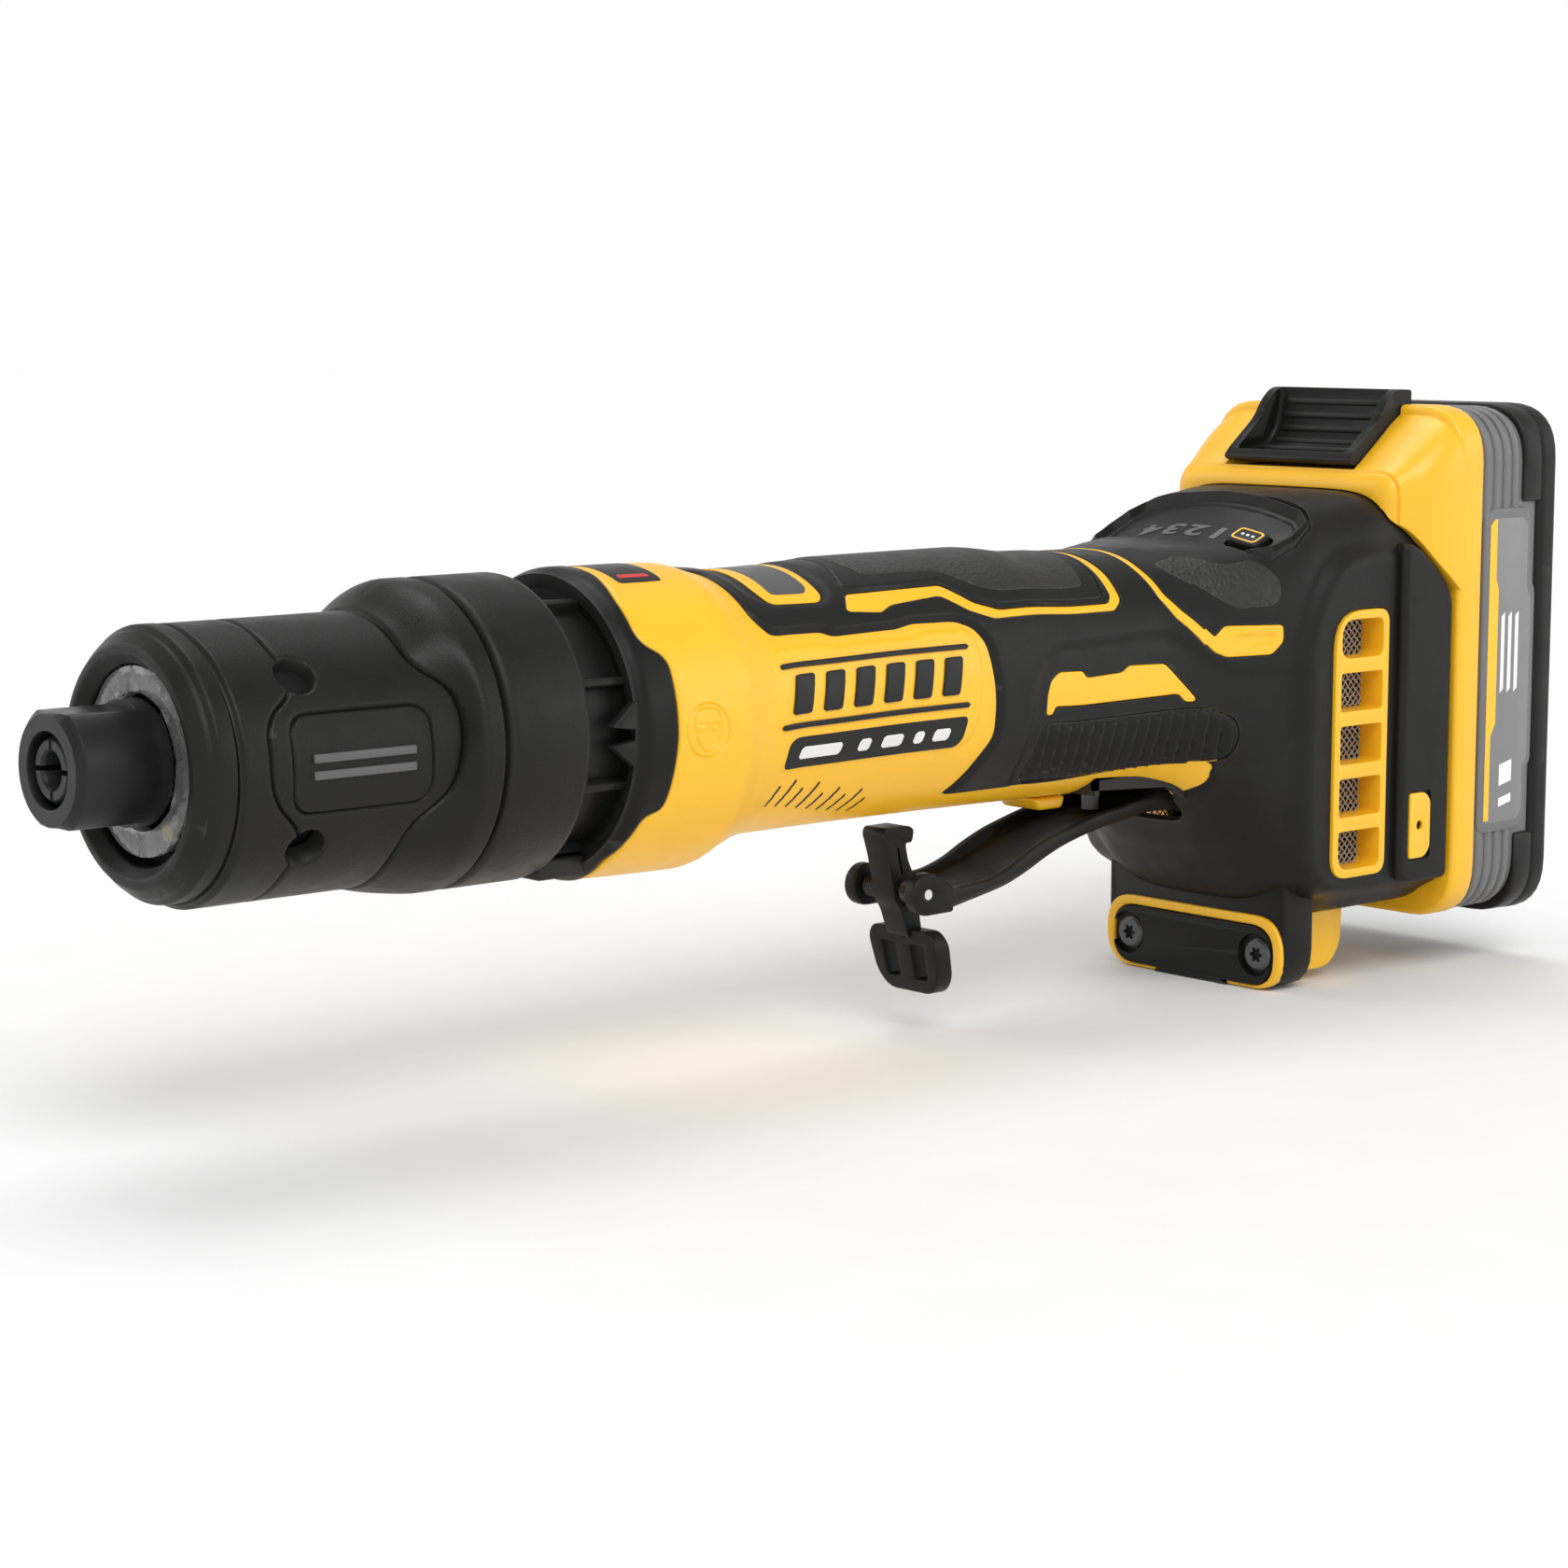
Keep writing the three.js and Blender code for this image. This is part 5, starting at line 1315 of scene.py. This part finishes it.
    back = bevelled(prism("back", rounded_ring(half, -64.2, top, 13), "x", 351.6, 359), 2.4, 5)
    gauge_low, gauge_high = tool_box("gauge_button")
    centre = (gauge_low + gauge_high) / 2
    boolean(back, disc("well", "z", centre[:2], gauge_low[2] - 5, gauge_high[2] + 0.8, 2.6))
    caps = []
    for z0, z1 in ((34.5, 80), (-80, -44)):
        cap = prism("cap", rounded_ring(half, -64, top, 13), "x", 346.2, 352.6)
        boolean(cap, prism("inside", rounded_ring(half - 2.2, -61, top - 2.4, 11.5), "x", 340, 351.8))
        boolean(cap, block("zone", (340, 356), (-60, 60), (z0, z1)), "INTERSECT")
        caps.append(bevelled(cap, 0.9, 3, 45))
    ridge = bevelled(prism("ridge", rounded_ring(half + 0.1, -30, 21, 3), "x", 352.4, 357), 1.2)
    piece(joined("bumper_black", [back, *caps, ridge]), "battery", RUBBER, "black_rubber",
          "battery_bumper")
    gauge = bevelled(disc("gauge_cap", "z", centre[:2], gauge_low[2], gauge_high[2], 2.4), 0.25, 2)
    piece(gauge, "gauge", GREY, "grey_plastic", "gauge_button")
    spring_low, spring_high = tool_box("latch_spring")
    turns, count = 5, 81
    t = np.linspace(0, 1, count)
    angle = 2 * math.pi * turns * t
    z = (spring_low[2] + spring_high[2]) / 2
    path = np.stack([spring_low[0] + (spring_high[0] - spring_low[0]) * t,
                     2.2 * np.cos(angle), z + 2.2 * np.sin(angle)], -1)
    piece(tube("latch_coil", path, 0.35), "battery", STEEL, "bright_steel", "latch_spring")


def build_latch():
    side = rounded([(304.6, 44.6), (306.4, 43.5), (327, 43.5), (327, 60.6), (321.4, 60.7),
                    (317.6, 57.6), (315.2, 53.6), (306.2, 46.4)],
                   [0.8, 0.8, 0.3, 0.9, 2, 2.5, 3, 1])
    latch = prism("latch_shell", side, "y", -19, 19)
    scoop = rounded([(306.8, 46.2), (309.4, 45.3), (317.8, 47.2), (321, 51.4), (322.6, 59),
                     (322.6, 75), (300, 75), (300, 50)], [0.5, 1.5, 4, 2, 0.5, 0, 0, 0])
    cutter = prism("scoop", scoop, "y", -16.6, 16.6)
    boolean(latch, bevelled(cutter, 1.2, 3, 60))
    latch = bevelled(latch, 0.5, 3, 40)
    boolean(latch, disc("well", "x", (0, 48.5), 322.3, 330, 2.95))
    bars = [latch]
    for x, z in ((313.5, 46.4), (318.4, 48), (320.6, 51), (321.6, 54.2), (322.4, 57.4)):
        bars.append(bevelled(block("bar", (x - 0.8, x + 0.8), (-14.6, 14.6), (z - 0.75, z + 0.75)),
                             0.6, 3))
    piece(joined("latch_scooped", bars), "latch", BLACK, "black_plastic", "battery_latch", sharp=45)


# ---------------------------------------------------------------- carried-over CAD pieces

KEPT = {
    "spindle_shaft": STEEL, "rotor_core": STEEL, "cooling_fan": BLACK,
    "front_bearing_inner_race": STEEL, "front_bearing_outer_race": STEEL,
    "rear_bearing_inner_race": STEEL, "rear_bearing_outer_race": STEEL,
    "led_board": BOARD_BLACK, "led_chip": LED, "nose_housing": CASTING, "motor_stator": STEEL,
    "stator_windings": COPPER, "control_board": BOARD, "terminal_block": BLACK,
    "terminal_blade_1": BRASS, "terminal_blade_2": BRASS, "microswitch": BLACK,
    "switch_plunger": GREY, "paddle_pin": STEEL, "lock_pin": STEEL, "cell_stack": FOIL,
    "housing_screw_1": DARK_STEEL, "housing_screw_2": DARK_STEEL, "housing_screw_3": DARK_STEEL,
    "housing_screw_4": DARK_STEEL,
}


def dress_kept_nodes():
    for name, finish in KEPT.items():
        thing = frame["nodes"][name]
        thing.data.materials.clear()
        thing.data.materials.append(finish)


# ---------------------------------------------------------------- camera, lights and floor


def build_stage():
    floor = bpy.data.meshes.new("floor")
    reach = 6.0
    floor.from_pydata([(-reach, -reach, 0), (reach, -reach, 0), (reach, reach, 0),
                       (-reach, reach, 0)], [], [(0, 1, 2, 3)])
    ground = add_object("floor", floor)
    paint = material("pale_floor", (0.86, 0.86, 0.86), 0.85, grain=0.02, grain_size=3, mottle=0.01)
    floor.materials.append(paint)

    world = bpy.data.worlds.new("studio")
    world.use_nodes = True
    nodes, links = world.node_tree.nodes, world.node_tree.links
    background = nodes["Background"]
    background.inputs["Color"].default_value = (1, 1, 1, 1)
    split = nodes.new("ShaderNodeSeparateXYZ")
    links.new(nodes.new("ShaderNodeTexCoord").outputs["Generated"], split.inputs["Vector"])
    fade = nodes.new("ShaderNodeMapRange")
    for socket, value in (("From Min", 0.2), ("From Max", 0.5), ("To Min", 1.0), ("To Max", 0.42)):
        fade.inputs[socket].default_value = value
    links.new(split.outputs["Z"], fade.inputs["Value"])
    links.new(fade.outputs["Result"], background.inputs["Strength"])
    bpy.context.scene.world = world
    suns = [("key", (-0.35, -0.75, 0.9), 1.5), ("top", (0.2, 0.35, 1.0), 0.9),
            ("fill", (0.9, -0.9, 0.45), 0.35), ("back", (-0.5, 0.9, 0.5), 0.4)]
    for name, source, strength in suns:
        data = bpy.data.lights.new(name, "SUN")
        data.energy = strength
        data.angle = math.radians(35)
        lamp = add_object(name, data)
        lamp.rotation_euler = (-Vector(source)).to_track_quat("-Z", "Y").to_euler()


def build_camera():
    data = bpy.data.cameras.new("camera")
    data.lens = 80.6
    data.sensor_width = 36
    data.dof.use_dof = False
    camera = add_object("camera", data)
    camera.location = to_frame([(-329.0, -540.4, 81.7)])[0]
    heading, pitch = math.radians(48.556), math.radians(-7.876)
    forward = Vector((math.cos(heading) * math.cos(pitch), math.sin(heading) * math.cos(pitch),
                      math.sin(pitch)))
    camera.rotation_euler = forward.to_track_quat("-Z", "Y").to_euler()
    bpy.context.scene.camera = camera


bpy.context.scene.view_settings.view_transform = "Standard"
build_camera()
build_stage()
build_yellow_shell()
build_exhaust_rim()
build_overmold()
build_handle_trim()
build_visor()
build_button()
build_mouth_liner()
build_nut()
build_lens_and_ring()
build_boot()
build_exhaust()
build_vents()
build_leg()
build_paddle()
build_lock_lever()
build_battery()
build_latch()
dress_kept_nodes()
